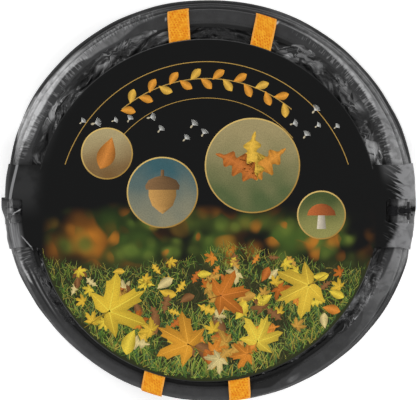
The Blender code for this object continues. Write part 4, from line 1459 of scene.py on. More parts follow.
    def crumple(self, angle: float, reach: float) -> Point:
        """The slack cloth's folds.

        Args:
            angle: Direction from the top rim's middle.
            reach: Distance from it.

        Returns:
            Its height from -1 to 1, and how near it is to a fold's edge, from 0 to 1.
        """
        drift = Vector([bumps(*polar(reach, angle), layer, 26.0) for layer in (4.0, 13.0, 22.0)])
        slant = 0.9 if math.cos(angle) < 0.0 else -0.6
        along = (0.25 * angle + slant * (reach - 0.23)) / 0.0190
        wave = Vector((along, reach / 0.0105, 0.0)) + 1.3 * drift
        height, fine = (noise.noise(where) for where in (wave, 2.1 * wave + Vector((3.0, 8.0, 1.0))))
        edge = max(0.0, 1.0 - abs(height) / 0.07) + 0.6 * max(0.0, 1.0 - abs(fine) / 0.06)
        return height + 0.35 * fine, min(1.0, edge)

    def rim_height(self, reach: float, cover: float, height: float, end: float) -> float:
        """Height of the cloth at the rim.

        Args:
            reach: Distance from the top rim's middle.
            cover: How far the cloth bulges over the hem here, from 0 to 1.
            height: Height of its folds here, from -1 to 1.
            end: How near its outer edge is, from 0 to 1.

        Returns:
            The height.
        """
        stack = self.hem.stack
        past = reach - stack.top_radius + stack.hem_width
        slope = stack.top_z + self.hem.slope(stack.top_radius - stack.tube - reach)
        tucked = stack.top_z + 0.0004
        valley = self.valley_z - 0.0020 * ease(-0.008, 0.0, past)
        over = between(valley, slope + 0.0009, ease(-0.004, 0.006, past))
        level = between(between(valley, tucked, ease(-0.006, 0.0, past)), over, cover)
        depth = 0.0040 * (1.0 - ease(-0.002, 0.006, past)) + 0.0011 * cover
        z = between(level + depth * height, between(tucked, slope - 0.0006, cover), ease(0.90, 1.0, end))
        return min(self.ceiling_z + 0.0014 * cover, z)

    def build_rim_cloth(self) -> None:
        """The crumpled cloth that shows between the card and the top hem, and bulges over the hem's slope."""
        marks: list[Point] = []

        def place(u: float, v: float) -> Vector:
            """A point of the crumpled ring."""
            angle = FULL_TURN * (u % 1.0)
            cover = within_arcs(angle, self.bulges, 7.0)
            reach = between(self.rim_inner, self.rim_outer + self.overlap * cover, v)
            marks.append(self.crumple(angle, reach))
            flat = polar(reach, angle, (0.0, self.hem.stack.top_shift))
            return Vector((*flat, self.rim_height(reach, cover, marks[-1][0], v)))

        size = (FULL_TURN * 0.25, self.rim_outer - self.rim_inner)
        bm = mapped_grid(self.rim_columns, self.rim_rows, place, size)
        haze, tick = (bm.verts.layers.float.new(name) for name in ("haze", "pucker"))
        for vert, (height, edge) in zip(bm.verts, marks):
            x, y, _ = vert.co
            angle, reach = math.atan2(y, x), math.hypot(x, y)
            # Painted highlights on the folds, dimmed to painted shade in the recess ring, plus the taut stretches'
            # painted highlights and the hem's gleam running on.
            recess_dimming = 1.0 - 0.75 * ease(0.2360, 0.2420, reach) * ease(0.2520, 0.2450, reach)
            patch = ease(-0.35, 0.35, bumps(x, y, 21.0, 34.0))
            fold_highlight = 0.16 + 0.30 * ease(-0.10, 0.40, height) + 0.12 * edge
            vert[haze] = within_arcs(angle, self.lit, 8.0) * recess_dimming * patch * fold_highlight + self.taut.gleam(x, y)
            if self.slit[0] < math.degrees(angle) % 360.0 < self.slit[1]:
                vert[haze] += self.hem.shine.gleam(x, y)
            vert[tick] = 0.45 * self.hem.shine.pucker(x, y)
        close_up(bm)
        add_piece("rim_cloth", bm, self.hem.finishes.fold, Body.TOP, ("wall_cloth",), 80.0)

    def build_base_cloth(self) -> None:
        """The round base, dished over the tipping handle and a little creased."""
        low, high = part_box("base_cloth")
        rim, shoulder, eye = high.x, high.x - 0.0050, 0.0010

        def place(u: float, v: float) -> Vector:
            """A point of the base's upper side."""
            reach = between(eye, rim, v)
            x, y = polar(reach, FULL_TURN * (u % 1.0))
            drop = (high.z - low.z - self.base_thick) * ease(shoulder, rim, reach)
            crease = self.base_crease * (bumps(x, y, 8.0, 30.0) * ease(0.0, 0.02, rim - reach) - 1.0)
            return Vector((x, y, high.z - drop + crease))

        bm = mapped_grid(180, 48, place)
        remap(bm, lambda _, co: co.xy)
        close_up(bm, lambda edge: edge.verts[0].co.xy.length < 0.5 * shoulder)
        bmesh.ops.solidify(bm, geom=bm.faces, thickness=self.base_thick - self.hem.stack.fit)
        bm.verts.layers.float.new("haze")
        add_piece("base_panel", bm, self.hem.finishes.wall, Body.BASE, ("base_cloth",), 60.0)


@dataclass(kw_only=True)
class Handle:
    """A loop of webbing with two legs, bent over at its hinge line.

    Args:
        name: Name of the piece.
        body: The body that the loop moves with.
        fixed: The body that its ends are sewn to.
        solids: The frame's solids that it stands for.
        origin: Middle of its hinge line.
        turn: Direction of the hinge line, in radians.
        spacing: Distance between the legs' middles.
        reach: Distance from the hinge line to the loop's far edge.
        lean: How far the legs lean in, in radians.
        middle_z: Height of its middle line.
        width: Width of the webbing.
        thickness: Thickness of the webbing.
    """

    name: str
    body: Body
    fixed: Body
    solids: tuple[str, ...]
    origin: Vector
    turn: float
    spacing: float
    reach: float
    lean: float
    middle_z: float
    width: float = 0.0280
    thickness: float = 0.0015

    def plan(self, tail: float, steps: int = 24) -> list[Point]:
        """The webbing's middle line in the handle's own plane.

        Args:
            tail: Length beyond the hinge line at both ends.
            steps: Steps along a tail or a leg.

        Returns:
            Its points.
        """
        half, leg, tilt = 0.5 * self.spacing, self.reach - 0.5 * self.width, math.tan(self.lean)
        straight = leg - (half - leg * tilt) / (1.0 - tilt)
        down = [(half, -tail + tail * k / steps) for k in range(steps)]
        side = [(half - straight * tilt * k / steps, straight * k / steps) for k in range(steps)]
        crown = arc_points((0.0, straight), half - straight * tilt, 0.0, math.pi, 2 * steps)
        return [*down, *side, *crown, *((-x, y) for x, y in reversed([*down, *side]))]

    def to_world(self, x: float, y: float, z: float) -> Vector:
        """A point from the handle's own frame: x along the hinge line, y inwards."""
        return self.origin + x * outward(self.turn) + y * outward(self.turn + RIGHT_ANGLE) + z * UP

    def lay(self, x: float, y: float, lift: float) -> Vector:
        """Lays a point of the flat webbing in place, lifted off its middle line."""
        return self.to_world(x, y, self.middle_z + lift)

    def build(self, finishes: Finishes, tail: float, bend: float) -> None:
        """Builds the webbing as one strip that bends at its hinge line.

        Args:
            finishes: The bag's finishes.
            tail: Length sewn down beyond the hinge line.
            bend: Length over which it bends.
        """
        flat = path_stations([Vector((x, y, 0.0)) for x, y in self.plan(tail)])
        bm = sweep(flat, strip_section(self.width, self.thickness, 10))
        for vert in bm.verts:
            x, y, lift = vert.co
            vert.co = self.lay(x, y, lift + 0.00012 * bumps(x, y, 4.0, 60.0))
        bmesh.ops.recalc_face_normals(bm, faces=bm.faces)
        piece = add_piece(self.name, bm, finishes.orange, None, self.solids)
        start, end = (self.to_world(0.0, y, self.middle_z) for y in (0.0005, 0.0005 + bend))
        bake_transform(piece, self.fixed.value, self.body.value, start=tuple(start), end=tuple(end))


@dataclass(kw_only=True)
class RimHandle(Handle):
    """A carrying handle, whose sewn ends run down over the outside of the top rim.

    Args:
        stack: Sizes of the stack.
        wrap: How far round the rim its ends run, in radians.
    """

    stack: Stack
    wrap: float = math.radians(125.0)

    @property
    def bend_radius(self) -> float:
        """Radius of its middle line round the rim."""
        return self.middle_z - self.stack.top_z - self.stack.tube

    def lay(self, x: float, y: float, lift: float) -> Vector:
        """Lays a point of the flat webbing over the rim."""
        inset = self.stack.chord(0.5 * self.spacing) - self.stack.chord(x)
        if y >= 0.0:
            return self.to_world(x, y + inset * ease(0.06, 0.02, y), self.middle_z + lift)
        rise, out = polar(self.bend_radius + lift, -y / self.bend_radius)
        return self.to_world(x, inset - out, self.middle_z - self.bend_radius + rise)


@dataclass(kw_only=True)
class BaseHandle(Handle):
    """The tipping handle, whose sewn ends double back over its legs.

    Args:
        seat_z: Height of its ends' middle line.
    """

    seat_z: float

    def lay(self, x: float, y: float, lift: float) -> Vector:
        """Lays a point of the flat webbing, with the tail turned back above the leg."""
        if y >= 0.0:
            return self.to_world(x, y, self.middle_z + lift)
        radius = 0.5 * (self.seat_z - self.middle_z)
        down, out = polar(radius - lift, min(math.pi, -y / radius))
        rest = max(0.0, -y - math.pi * radius)
        return self.to_world(x, rest - out, self.middle_z + radius - down)


@dataclass
class Webbing:
    """All three orange handles.

    Args:
        stack: Sizes of the stack.
        finishes: The bag's finishes.
        turn: Direction of the hinge lines, in radians.
        spacing: Distance between a carrying handle's legs.
        reach: Distance from its hinge line to its far edge.
        lean: How far its legs lean in, in radians.
        base_spacing: Distance between the tipping handle's legs.
        base_reach: Distance from its hinge line to its far edge.
        base_tail: Length of its sewn ends.
    """

    stack: Stack
    finishes: Finishes
    turn: float = math.radians(-4.0)
    spacing: float = 0.1180
    reach: float = 0.1380
    lean: float = math.radians(7.6)
    base_spacing: float = 0.0900
    base_reach: float = 0.1200
    base_tail: float = 0.0320

    def build(self) -> None:
        """Builds the handles."""
        low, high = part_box("handle_back")
        centre = Vector((0.0, self.stack.top_shift, 0.0))
        for side, turn, body in (("back", self.turn, Body.HANDLE_BACK),
                                 ("front", self.turn + math.pi, Body.HANDLE_FRONT)):
            handle = RimHandle(
                name=f"handle_{side}_webbing",
                body=body,
                fixed=Body.TOP,
                solids=(f"handle_{side}", f"handle_anchor_{side}_left", f"handle_anchor_{side}_right"),
                origin=centre + self.stack.chord(0.5 * self.spacing) * outward(turn + RIGHT_ANGLE),
                turn=turn + math.pi,
                spacing=self.spacing,
                reach=self.reach,
                lean=self.lean,
                middle_z=0.5 * (low.z + high.z),
                stack=self.stack,
            )
            handle.build(self.finishes, handle.bend_radius * handle.wrap, 0.010)
        self.build_base_handle()

    def build_base_handle(self) -> None:
        """The tipping handle under the base, with its ends sewn flat to the cloth."""
        low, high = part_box("base_handle")
        upper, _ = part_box("base_handle_anchor_left")
        handle = BaseHandle(
            name="base_handle_webbing",
            body=Body.BASE_HANDLE,
            fixed=Body.BASE,
            solids=("base_handle", "base_handle_anchor_left", "base_handle_anchor_right"),
            origin=Vector((*find_joint("base_handle_fold")["pos_m"][:2], 0.0)),
            turn=self.turn,
            spacing=self.base_spacing,
            reach=self.base_reach,
            lean=0.0,
            middle_z=0.5 * (low.z + high.z),
            seat_z=upper.z + 0.5 * (high.z - low.z),
        )
        handle.build(self.finishes, self.base_tail, 0.006)


@dataclass
class Closure:
    """A toggle closure: strap, T-bar, elastic loop and base tab.

    Args:
        stack: Sizes of the stack.
        finishes: The bag's finishes.
        side: 1 on the right, -1 on the left.
        body: The body that its strap end moves with.
        shine: Where painted highlights lie on the coating round it.
        glare_share: How much of the painted highlight its strap, loop and toggle take.
        strap_width: Width of the strap's sewn end.
        neck_width: Width of its neck.
        neck_length: From the rim's crest in to the sewn end.
        strap_thick: Thickness of the strap.
        toggle_radius: Radius of the T-bar's arms.
        toggle_core: Radius of its core.
        groove: Width of the gap between its arms.
        cord_radius: Radius of the elastic cord.
        loop_half: Half the width of its loop.
        tab_spare: How much wider the slack tab is than its solid.
    """

    stack: Stack
    finishes: Finishes
    side: float
    body: Body
    shine: Shine
    glare_share: float = 0.0
    strap_width: float = 0.0130
    neck_width: float = 0.0070
    neck_length: float = 0.0060
    strap_thick: float = 0.0012
    toggle_radius: float = 0.0028
    toggle_core: float = 0.0016
    groove: float = 0.0080
    cord_radius: float = 0.0011
    loop_half: float = 0.0052
    tab_spare: float = 0.0080

    @property
    def label(self) -> str:
        """Name of the side."""
        return "right" if self.side > 0.0 else "left"

    @property
    def joint(self) -> dict:
        """The joint on which the strap end lifts."""
        return find_joint(f"closure_{self.label}_lift")

    @property
    def middle(self) -> float:
        """The closure's place along the rim."""
        return self.joint["pos_m"][1]

    def world(self, x: float, across: float, z: float) -> Vector:
        """A point from the closure's own frame: x outwards, and across along the rim."""
        return Vector((self.side * x, self.middle + self.side * across, z))

    def box(self, part: str) -> tuple[float, float, Vector, Vector]:
        """How near and how far out one of the closure's solids lies, and its box."""
        low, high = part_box(f"{part}_{self.label}")
        return (*sorted((abs(low.x), abs(high.x))), low, high)

    def crest(self) -> Point:
        """Distance out to the crest of the top rim, and the height of its channel's middle."""
        return self.stack.chord(self.middle - self.stack.top_shift), self.stack.top_z + self.stack.tube

    def core(self) -> Point:
        """Middle of the toggle."""
        near, far, low, high = self.box("toggle")
        return 0.5 * (near + far), 0.5 * (low.z + high.z)

    def strip(self, line: list[Point], width: float, thickness: float, columns: int) -> BMesh:
        """A strap that keeps its width along the rim.

        Args:
            line: Its middle line, as distances outwards and up.
            width: Its width.
            thickness: Its thickness.
            columns: Faces across it.

        Returns:
            The mesh, in place.
        """
        stations = path_stations([self.world(x, 0.0, z) for x, z in line], across=Vector((0.0, self.side, 0.0)))
        return sweep(stations, strip_section(width, thickness, columns))

    def build(self) -> None:
        """Builds the closure's four pieces."""
        self.build_strap()
        self.build_toggle()
        self.build_loop()
        self.build_tab()

    def strap_line(self) -> list[Point]:
        """The strap's middle line, from its sewn end over the crest and round the toggle's core."""
        inner, _, low, _ = self.box("closure_patch")
        lift = 0.5 * self.strap_thick
        foot_z = low.z + lift + 0.0001
        over = arc_points(self.crest(), self.stack.tube + self.stack.fit + lift, RIGHT_ANGLE, 0.30 * math.pi, 6)
        eye = arc_points(self.core(), self.toggle_core + self.stack.fit + lift, 0.75 * math.pi, -0.95 * math.pi, 22)
        slope = [(between(inner, over[0][0], k / 12.0), between(foot_z, over[0][1], math.sin(RIGHT_ANGLE * k / 12.0)))
                 for k in range(12)]
        return [*slope, *over, *eye]

    def build_strap(self) -> None:
        """The strap: a wide sewn end, a narrow neck and an eye round the toggle."""
        bm = self.strip(self.strap_line(), self.strap_width, self.strap_thick, 6)
        narrow = self.neck_width / self.strap_width
        for vert in bm.verts:
            inside = self.crest()[0] - abs(vert.co.x)
            share = between(narrow, 1.0, ease(self.neck_length, self.neck_length + 0.0012, inside))
            vert.co.y = between(self.middle, vert.co.y, share)
        bmesh.ops.recalc_face_normals(bm, faces=bm.faces)
        # Painted highlight from the rim's marks, kept off the sewn end.
        self.shine.mark(bm, self.glare_share)
        haze = bm.verts.layers.float["haze"]
        sewn = self.box("closure_patch")[0]
        for vert in bm.verts:
            vert[haze] *= ease(sewn + 0.0085, sewn + 0.0105, abs(vert.co.x))
        names = (f"closure_patch_{self.label}", f"closure_strap_{self.label}")
        piece = add_piece(f"closure_strap_{self.label}_webbing", bm, self.finishes.black, None, names)
        start, end = (Vector(self.joint["pos_m"]) + Vector((self.side * x, 0.0, 0.0)) for x in (-0.0015, 0.0030))
        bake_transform(piece, Body.TOP.value, self.body.value, start=tuple(start), end=tuple(end))

    def build_toggle(self) -> None:
        """The T-bar: two round-ended arms on a thin core."""
        core_x, core_z = self.core()
        _, _, low, high = self.box("toggle")
        half, gap, soft = 0.5 * (high.y - low.y), 0.5 * self.groove, 0.0006
        nose = arc_points((half - self.toggle_radius, 0.0), self.toggle_radius, 0.08, RIGHT_ANGLE, 8)
        waist = arc_points((gap + soft, self.toggle_core + soft), soft, RIGHT_ANGLE, math.pi, 3)
        arm = [*nose, (gap + 2.0 * soft, self.toggle_radius), *waist, (gap - 0.0002, self.toggle_core)]
        bm = bmesh.new()
        verts = [bm.verts.new(self.world(core_x, y, core_z + reach))
                 for y, reach in [*arm, *((-y, reach) for y, reach in reversed(arm))]]
        edges = [bm.edges.new(pair) for pair in zip(verts, verts[1:])]
        bmesh.ops.spin(bm, geom=[*verts, *edges], cent=self.world(core_x, 0.0, core_z), axis=(0.0, 1.0, 0.0),
                       angle=FULL_TURN, steps=24, use_merge=True)
        bmesh.ops.holes_fill(bm, edges=[edge for edge in bm.edges if edge.is_boundary], sides=0)
        bmesh.ops.recalc_face_normals(bm, faces=bm.faces)
        # Painted highlight where the rim's marks cross the T-bar.
        self.shine.mark(bm, 0.4 * self.glare_share)
        node = f"toggle_{self.label}"
        add_piece(f"{node}_bar", bm, self.finishes.plastic, self.body, (node,), 50.0)

    def loop_route(self) -> list[Vector]:
        """The elastic loop's own points, from the tab over the rim, round the strap's neck and back."""
        cord, half, stack = self.cord_radius, self.loop_half, self.stack
        _, far, low, high = self.box("closure_loop")
        leg = [(far - cord, low.z), (far - cord, low.z + 0.0033), (far - 2.0 * cord, 0.26 * stack.top_z)]
        leg += [(stack.ring(share)[0] + 3.0 * stack.fit + cord, share * stack.top_z) for share in (0.38, 0.60, 0.85)]
        leg += arc_points(self.crest(), stack.tube + stack.fit + cord, -0.05 * math.pi, 0.45 * math.pi, 5)
        turn_x, bend_z = self.crest()[0] - 0.0010, high.z - 2.0 * cord
        round_neck = [(turn_x - half * math.sin(turn), half * math.cos(turn), bend_z + cord * (1.0 - math.sin(turn)))
                      for turn in (math.pi * k / 8.0 for k in range(1, 8))]
        route = [*((x, half, z) for x, z in leg), *round_neck, *((x, -half, z) for x, z in reversed(leg))]
        return [self.world(*point) for point in route]

    def build_loop(self) -> None:
        """The elastic loop, which rides on the base."""
        route = smooth_route(self.loop_route(), 5)
        bm = sweep(path_stations(route, Vector((0.0, 1.0, 0.02))), round_section(self.cord_radius, 12))
        self.shine.mark(bm, self.glare_share)
        name = f"closure_loop_{self.label}"
        piece = add_piece(f"{name}_elastic", bm, self.finishes.braid, Body.BASE, (name,), 60.0)
        low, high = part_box(name)
        anchor = Vector((low.x if self.side < 0.0 else high.x, 0.0, low.z))
        self.joint["name"]
        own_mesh(piece)

    def build_tab(self) -> None:
        """The folded webbing tab that holds the loop on the base rim."""
        inner, outer, low, high = self.box("closure_tab")
        inner += 2.0 * self.stack.fit
        middle, ply, width = 0.5 * (low.z + high.z), 0.5 * (high.z - low.z), high.y - low.y
        fold = arc_points((outer - ply, middle), 0.5 * ply, -RIGHT_ANGLE, RIGHT_ANGLE, 8)
        line = [(inner, middle - 0.5 * ply), *fold, (inner, middle + 0.5 * ply)]
        bm = self.strip(line, width + self.tab_spare, 0.9 * ply, 14)
        self.shine.mark(bm)
        haze = bm.verts.layers.float["haze"]
        push, pull = (0.0018, 0.0022) if self.side > 0.0 else (0.0026, 0.0050)
        for vert in bm.verts:
            to_end = vert.co.y - low.y
            # Painted highlight over the whole tab, left off one spot on the right tab.
            bare = ease(0.0050, 0.0030, abs(to_end - 0.6 * width)) if self.side > 0.0 else 0.0
            vert[haze] = (0.95 * vert[haze] + 0.09) * (1.0 - bare)
            out = push - pull * ease(0.020, 0.0, to_end)
            vert.co.x += self.side * out * ease(inner, outer, abs(vert.co.x))
        add_piece(f"closure_tab_{self.label}_webbing", bm, self.finishes.black, Body.BASE,
                  (f"closure_tab_{self.label}",))


@dataclass
class DisplayCard:
    """The board disc with two tabs bent down over the rim.

    Args:
        stack: Sizes of the stack.
        finishes: The bag's finishes.
        margin: How much smaller the disc is than the top rim.
        centre: Middle of the disc.
        tab_width: Width of a tab.
        tab_y: Middle of the tabs.
        tab_inset: From the base rim in to where the tabs bend down.
        bend: Radius of that bend.
        flange: Length that hangs down from it.
        notch_width: Width of a tab's notch round the closure.
        notch_y: Middle of the notches.
        notch_right: From the rim's crest in to the right notch's end.
        notch_left: From the rim's crest in to the left notch's end.
        corner: Radius of the notches' corners.
        end_tuck: How much closer the flanges' ends lie.
        side_y: Where the flange beside a notch takes its outline from, below and above.
        board: Thickness of the board.
        bend_steps: Faces round the bend.
    """

    stack: Stack
    finishes: Finishes
    margin: float = 0.0330
    centre: Point = (-0.0030, -0.0140)
    tab_width: float = 0.1100
    tab_y: float = -0.0080
    tab_inset: float = 0.0055
    bend: float = 0.0076
    flange: float = 0.0160
    notch_width: float = 0.0320
    notch_y: float = -0.0145
    notch_right: float = 0.0218
    notch_left: float = 0.0093
    corner: float = 0.0040
    end_tuck: float = 0.0015
    side_y: Point = (-0.0440, 0.0180)
    board: float = 0.0006
    bend_steps: int = 8
    top_z: float = field(init=False)

    def __post_init__(self) -> None:
        """Reads the height of the printed face."""
        self.top_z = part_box("display_card")[1].z

    @property
    def radius(self) -> float:
        """Radius of the disc."""
        return self.stack.top_radius - self.margin

    @property
    def flat(self) -> float:
        """Radius at which the tabs start to bend down."""
        return self.stack.base_radius - self.tab_inset

    @property
    def tab(self) -> Point:
        """The tabs' lower and upper end."""
        return self.tab_y - 0.5 * self.tab_width, self.tab_y + 0.5 * self.tab_width

    def tab_edge(self, side: int, notch: float) -> list[Point]:
        """Plan points of one tab's edge with its rounded notch.

        Args:
            side: 1 on the right, -1 on the left.
            notch: From the rim's crest in to the notch's end.

        Returns:
            The points, anticlockwise.
        """
        low, high = self.notch_y - 0.5 * self.notch_width, self.notch_y + 0.5 * self.notch_width
        soft = self.corner
        middle_x = self.stack.chord(self.notch_y - self.stack.top_shift) - notch + soft
        lower, upper = (arc_points((0.0, 0.0), self.flat, *(math.asin(y / self.flat) for y in ends), 16)
                        for ends in ((self.tab[0], low), (high, self.tab[1])))
        points = [
            *lower,
            *arc_points((middle_x, low + soft), soft, 3.0 * RIGHT_ANGLE, math.pi, 5),
            *arc_points((middle_x, high - soft), soft, math.pi, RIGHT_ANGLE, 5),
            *upper,
        ]
        return [(side * x, y) for x, y in points[::side]]

    def outline(self) -> list[Point]:
        """The whole flat outline, anticlockwise."""
        low, high = (math.asin((y - self.centre[1]) / self.radius) for y in self.tab)
        return [
            *self.tab_edge(1, self.notch_right),
            *arc_points(self.centre, self.radius, high, math.pi - high, 120),
            *self.tab_edge(-1, self.notch_left),
            *arc_points(self.centre, self.radius, math.pi - low, FULL_TURN + low, 120),
        ]

    def lower(self, vert: BMVert, step: int) -> None:
        """Moves a vertex of the tabs' edge on round the bend and down the flange.

        Args:
            vert: The vertex.
            step: Steps round the bend, and one more for the flange.
        """
        outer = self.bend + self.board
        turned = RIGHT_ANGLE * min(step, self.bend_steps) / self.bend_steps
        to_end = 0.5 * self.tab_width - abs(vert.co.y - self.tab_y)
        below, above = self.side_y
        aside = max(vert.co.y, above) if vert.co.y > self.notch_y else min(vert.co.y, below)
        close = outer - self.end_tuck * (1.0 - ease(0.0, 0.022, to_end)) + self.stack.swell(vert.co.x, aside)
        plan = vert.co.xy.normalized() * (self.flat + close * math.sin(turned))
        drop = outer * (1.0 - math.cos(turned)) + (self.flange if step > self.bend_steps else 0.0)
        vert.co = (*plan, self.top_z - drop)

    def build(self) -> None:
        """Builds the board with its bent flanges."""
        bm = bmesh.new()
        bm.faces.new([bm.verts.new((x, y, self.top_z)) for x, y in self.outline()])
        bmesh.ops.remove_doubles(bm, verts=bm.verts, dist=WELD)
        rim = self.flat - 10.0 * WELD
        edges = [edge for edge in bm.edges if all(vert.co.xy.length > rim for vert in edge.verts)]
        for step in range(1, self.bend_steps + 2):
            made = bmesh.ops.extrude_edge_only(bm, edges=edges)["geom"]
            edges = [part for part in made if isinstance(part, BMEdge)]
            for vert in {vert for edge in edges for vert in edge.verts}:
                self.lower(vert, step)
        bmesh.ops.triangulate(bm, faces=[face for face in bm.faces if len(face.verts) > 4])
        bmesh.ops.recalc_face_normals(bm, faces=bm.faces)
        if max(bm.faces, key=lambda face: face.calc_area()).normal.z < 0.0:
            bmesh.ops.reverse_faces(bm, faces=bm.faces)
        bmesh.ops.solidify(bm, geom=bm.faces, thickness=self.board)
        add_piece("printed_card", bm, self.finishes.card, Body.CARD, ("display_card",), 30.0)


@dataclass
class Print:
    """Everything printed on the card: an autumn ground, roundels, a garland and drifting seeds.

    Args:
        card: The card that carries it.
        seed: Start of its random draws.
        lift: Height of the lowest layer over the card.
        depth: From the lowest layer to the top one.
        edge: Width kept free at the disc's edge.
        edge_width: Width of the pale cut edge.
        horizon: Height on the card at which the grass begins.
        blades: Blades of grass tried.
        litter: Small fallen leaves tried.
        seeds: Seeds tried.
        seed_gap: Least distance between two seeds.
        greens: Colours of the grass.
        thatch: Colour of its bare patches.
        fallen: Colours of the small leaves.
        large: Place, direction, size and colour of the large leaves.
        gold: Dark and light gold.
        maple_edge: Direction and share of the reach along half a maple leaf's edge.
    """

    card: DisplayCard
    seed: int = 41
    lift: float = 0.00002
    depth: float = 0.00015
    edge: float = 0.0035
    edge_width: float = 0.0012
    horizon: float = -0.080
    blades: int = 5600
    litter: int = 210
    seeds: int = 90
    seed_gap: float = 0.0165
    greens: tuple[Colour, ...] = ((0.17, 0.32, 0.040), (0.30, 0.44, 0.060), (0.080, 0.17, 0.032), (0.48, 0.52, 0.10),
                                  (0.60, 0.48, 0.08), (0.13, 0.26, 0.08))
    thatch: Colour = (0.090, 0.085, 0.028)
    fallen: tuple[Colour, ...] = ((0.72, 0.25, 0.025), (0.55, 0.15, 0.015), (0.80, 0.50, 0.04), (0.88, 0.62, 0.05),
                                  (0.26, 0.11, 0.03), (0.62, 0.33, 0.05), (0.75, 0.60, 0.25))
    large: tuple[tuple[Point, float, float, Colour], ...] = (
        ((-0.118, -0.140), 0.5, 0.085, (0.86, 0.58, 0.045)),
        ((-0.040, -0.185), 2.6, 0.072, (0.80, 0.36, 0.030)),
        ((0.120, -0.120), 3.6, 0.074, (0.83, 0.55, 0.050)),
        ((0.028, -0.125), 0.2, 0.062, (0.62, 0.19, 0.020)),
        ((0.070, -0.178), 1.1, 0.058, (0.88, 0.62, 0.060)),
    )
    gold: tuple[Colour, Colour] = ((0.42, 0.24, 0.05), (0.78, 0.55, 0.18))
    maple_edge: tuple[Point, ...] = (
        (0.0, 1.00), (6.0, 0.78), (13.0, 0.82), (15.0, 0.64), (26.0, 0.42), (36.0, 0.64), (40.0, 0.80), (50.0, 0.95),
        (57.0, 0.74), (66.0, 0.72), (69.0, 0.54), (83.0, 0.36), (97.0, 0.52), (106.0, 0.66), (118.0, 0.45),
        (140.0, 0.33), (165.0, 0.18), (180.0, 0.06),
    )
    rng: random.Random = field(init=False)

    def __post_init__(self) -> None:
        """Starts the random draws."""
        self.rng = random.Random(self.seed)

    def inside(self, x: float, y: float, spare: float = 0.0) -> bool:
        """Whether a point lies on the printed disc."""
        return math.dist((x, y), self.card.centre) < self.card.radius - self.edge - spare

    def level(self, share: float) -> float:
        """Height of a printed layer, from the card at 0 to the top layer at 1."""
        return self.card.top_z + self.lift + self.depth * share

    def build(self) -> None:
        """Builds every printed piece."""
        self.build_edge()
        self.build_ground()
        self.build_garland()
        self.build_roundels()
        self.build_seeds()

    def start(self) -> BMesh:
        """A mesh ready for printed colours."""
        bm = bmesh.new()
        bm.verts.layers.float_color.new("ink")
        return bm

    def add(self, name: str, bm: BMesh, finish: Finish) -> None:
        """Adds one printed piece with its faces up."""
        for face in bm.faces:
            face.normal_update()
            if face.normal.z < 0.0:
                face.normal_flip()
        add_piece(name, bm, finish, Body.CARD)

    def dot(self, bm: BMesh, point: Point, z: float, colour: Colour) -> BMVert:
        """A coloured vertex."""
        vert = bm.verts.new((*point, z))
        vert[bm.verts.layers.float_color["ink"]] = (*colour, 1.0)
        return vert

    def strip(self, bm: BMesh, z: float, rows: list[Stripe]) -> None:
        """A printed strip between two edges.

        Args:
            bm: The mesh that it joins.
            z: Its height.
            rows: Place and colour on both edges, step by step.
        """
        made = [[self.dot(bm, point, z, colour) for point, colour in row] for row in rows]
        for first, second in zip(made, made[1:]):
            bm.faces.new((first[0], first[1], second[1], second[0]))

    def band(self, bm: BMesh, centre: Point, reaches: Point, turns: Point, steps: int, z: float, tone: Tone) -> None:
        """A printed band round a centre.

        Args:
            bm: The mesh that it joins.
            centre: The centre.
            reaches: Inner and outer radius.
            turns: First and last direction, in radians.
            steps: Steps along it.
            z: Its height.
            tone: The colour at a place from the centre, on the inner edge for 0 or the outer one for 1.
        """
        edges = [arc_points(centre, reach, *turns, steps) for reach in reaches]
        self.strip(bm, z, [
            [((x, y), tone(x - centre[0], y - centre[1], side)) for side, (x, y) in enumerate(pair)]
            for pair in zip(*edges)
        ])

    def blade(self, bm: BMesh, root: Point, turn: float, length: float, width: float, z: float, tone: Colour) -> None:
        """One blade of grass, dark at its root.

        Args:
            bm: The mesh that it joins.
            root: Where it stands.
            turn: Its lean from upright, in radians.
            length: Its length.
            width: Its width at the root.
            z: Its height.
            tone: Its colour.
        """
        sway, steps = self.rng.uniform(-0.9, 0.9), 4
        rows, spot = [], root
        for share in (k / steps for k in range(steps + 1)):
            heading, glow = turn + sway * share, 0.35 + 0.9 * share
            if self.inside(*spot):
                sides = either_side(spot, -heading, 0.5 * width * (1.0 - 0.92 * share))
                rows.append(tuple(zip(sides, (shade(tone, 0.75 * glow), shade(tone, 1.1 * glow)))))
            elif rows:
                break
            spot = polar(length / steps, RIGHT_ANGLE - heading, spot)
        if len(rows) > 1:
            self.strip(bm, z, rows)

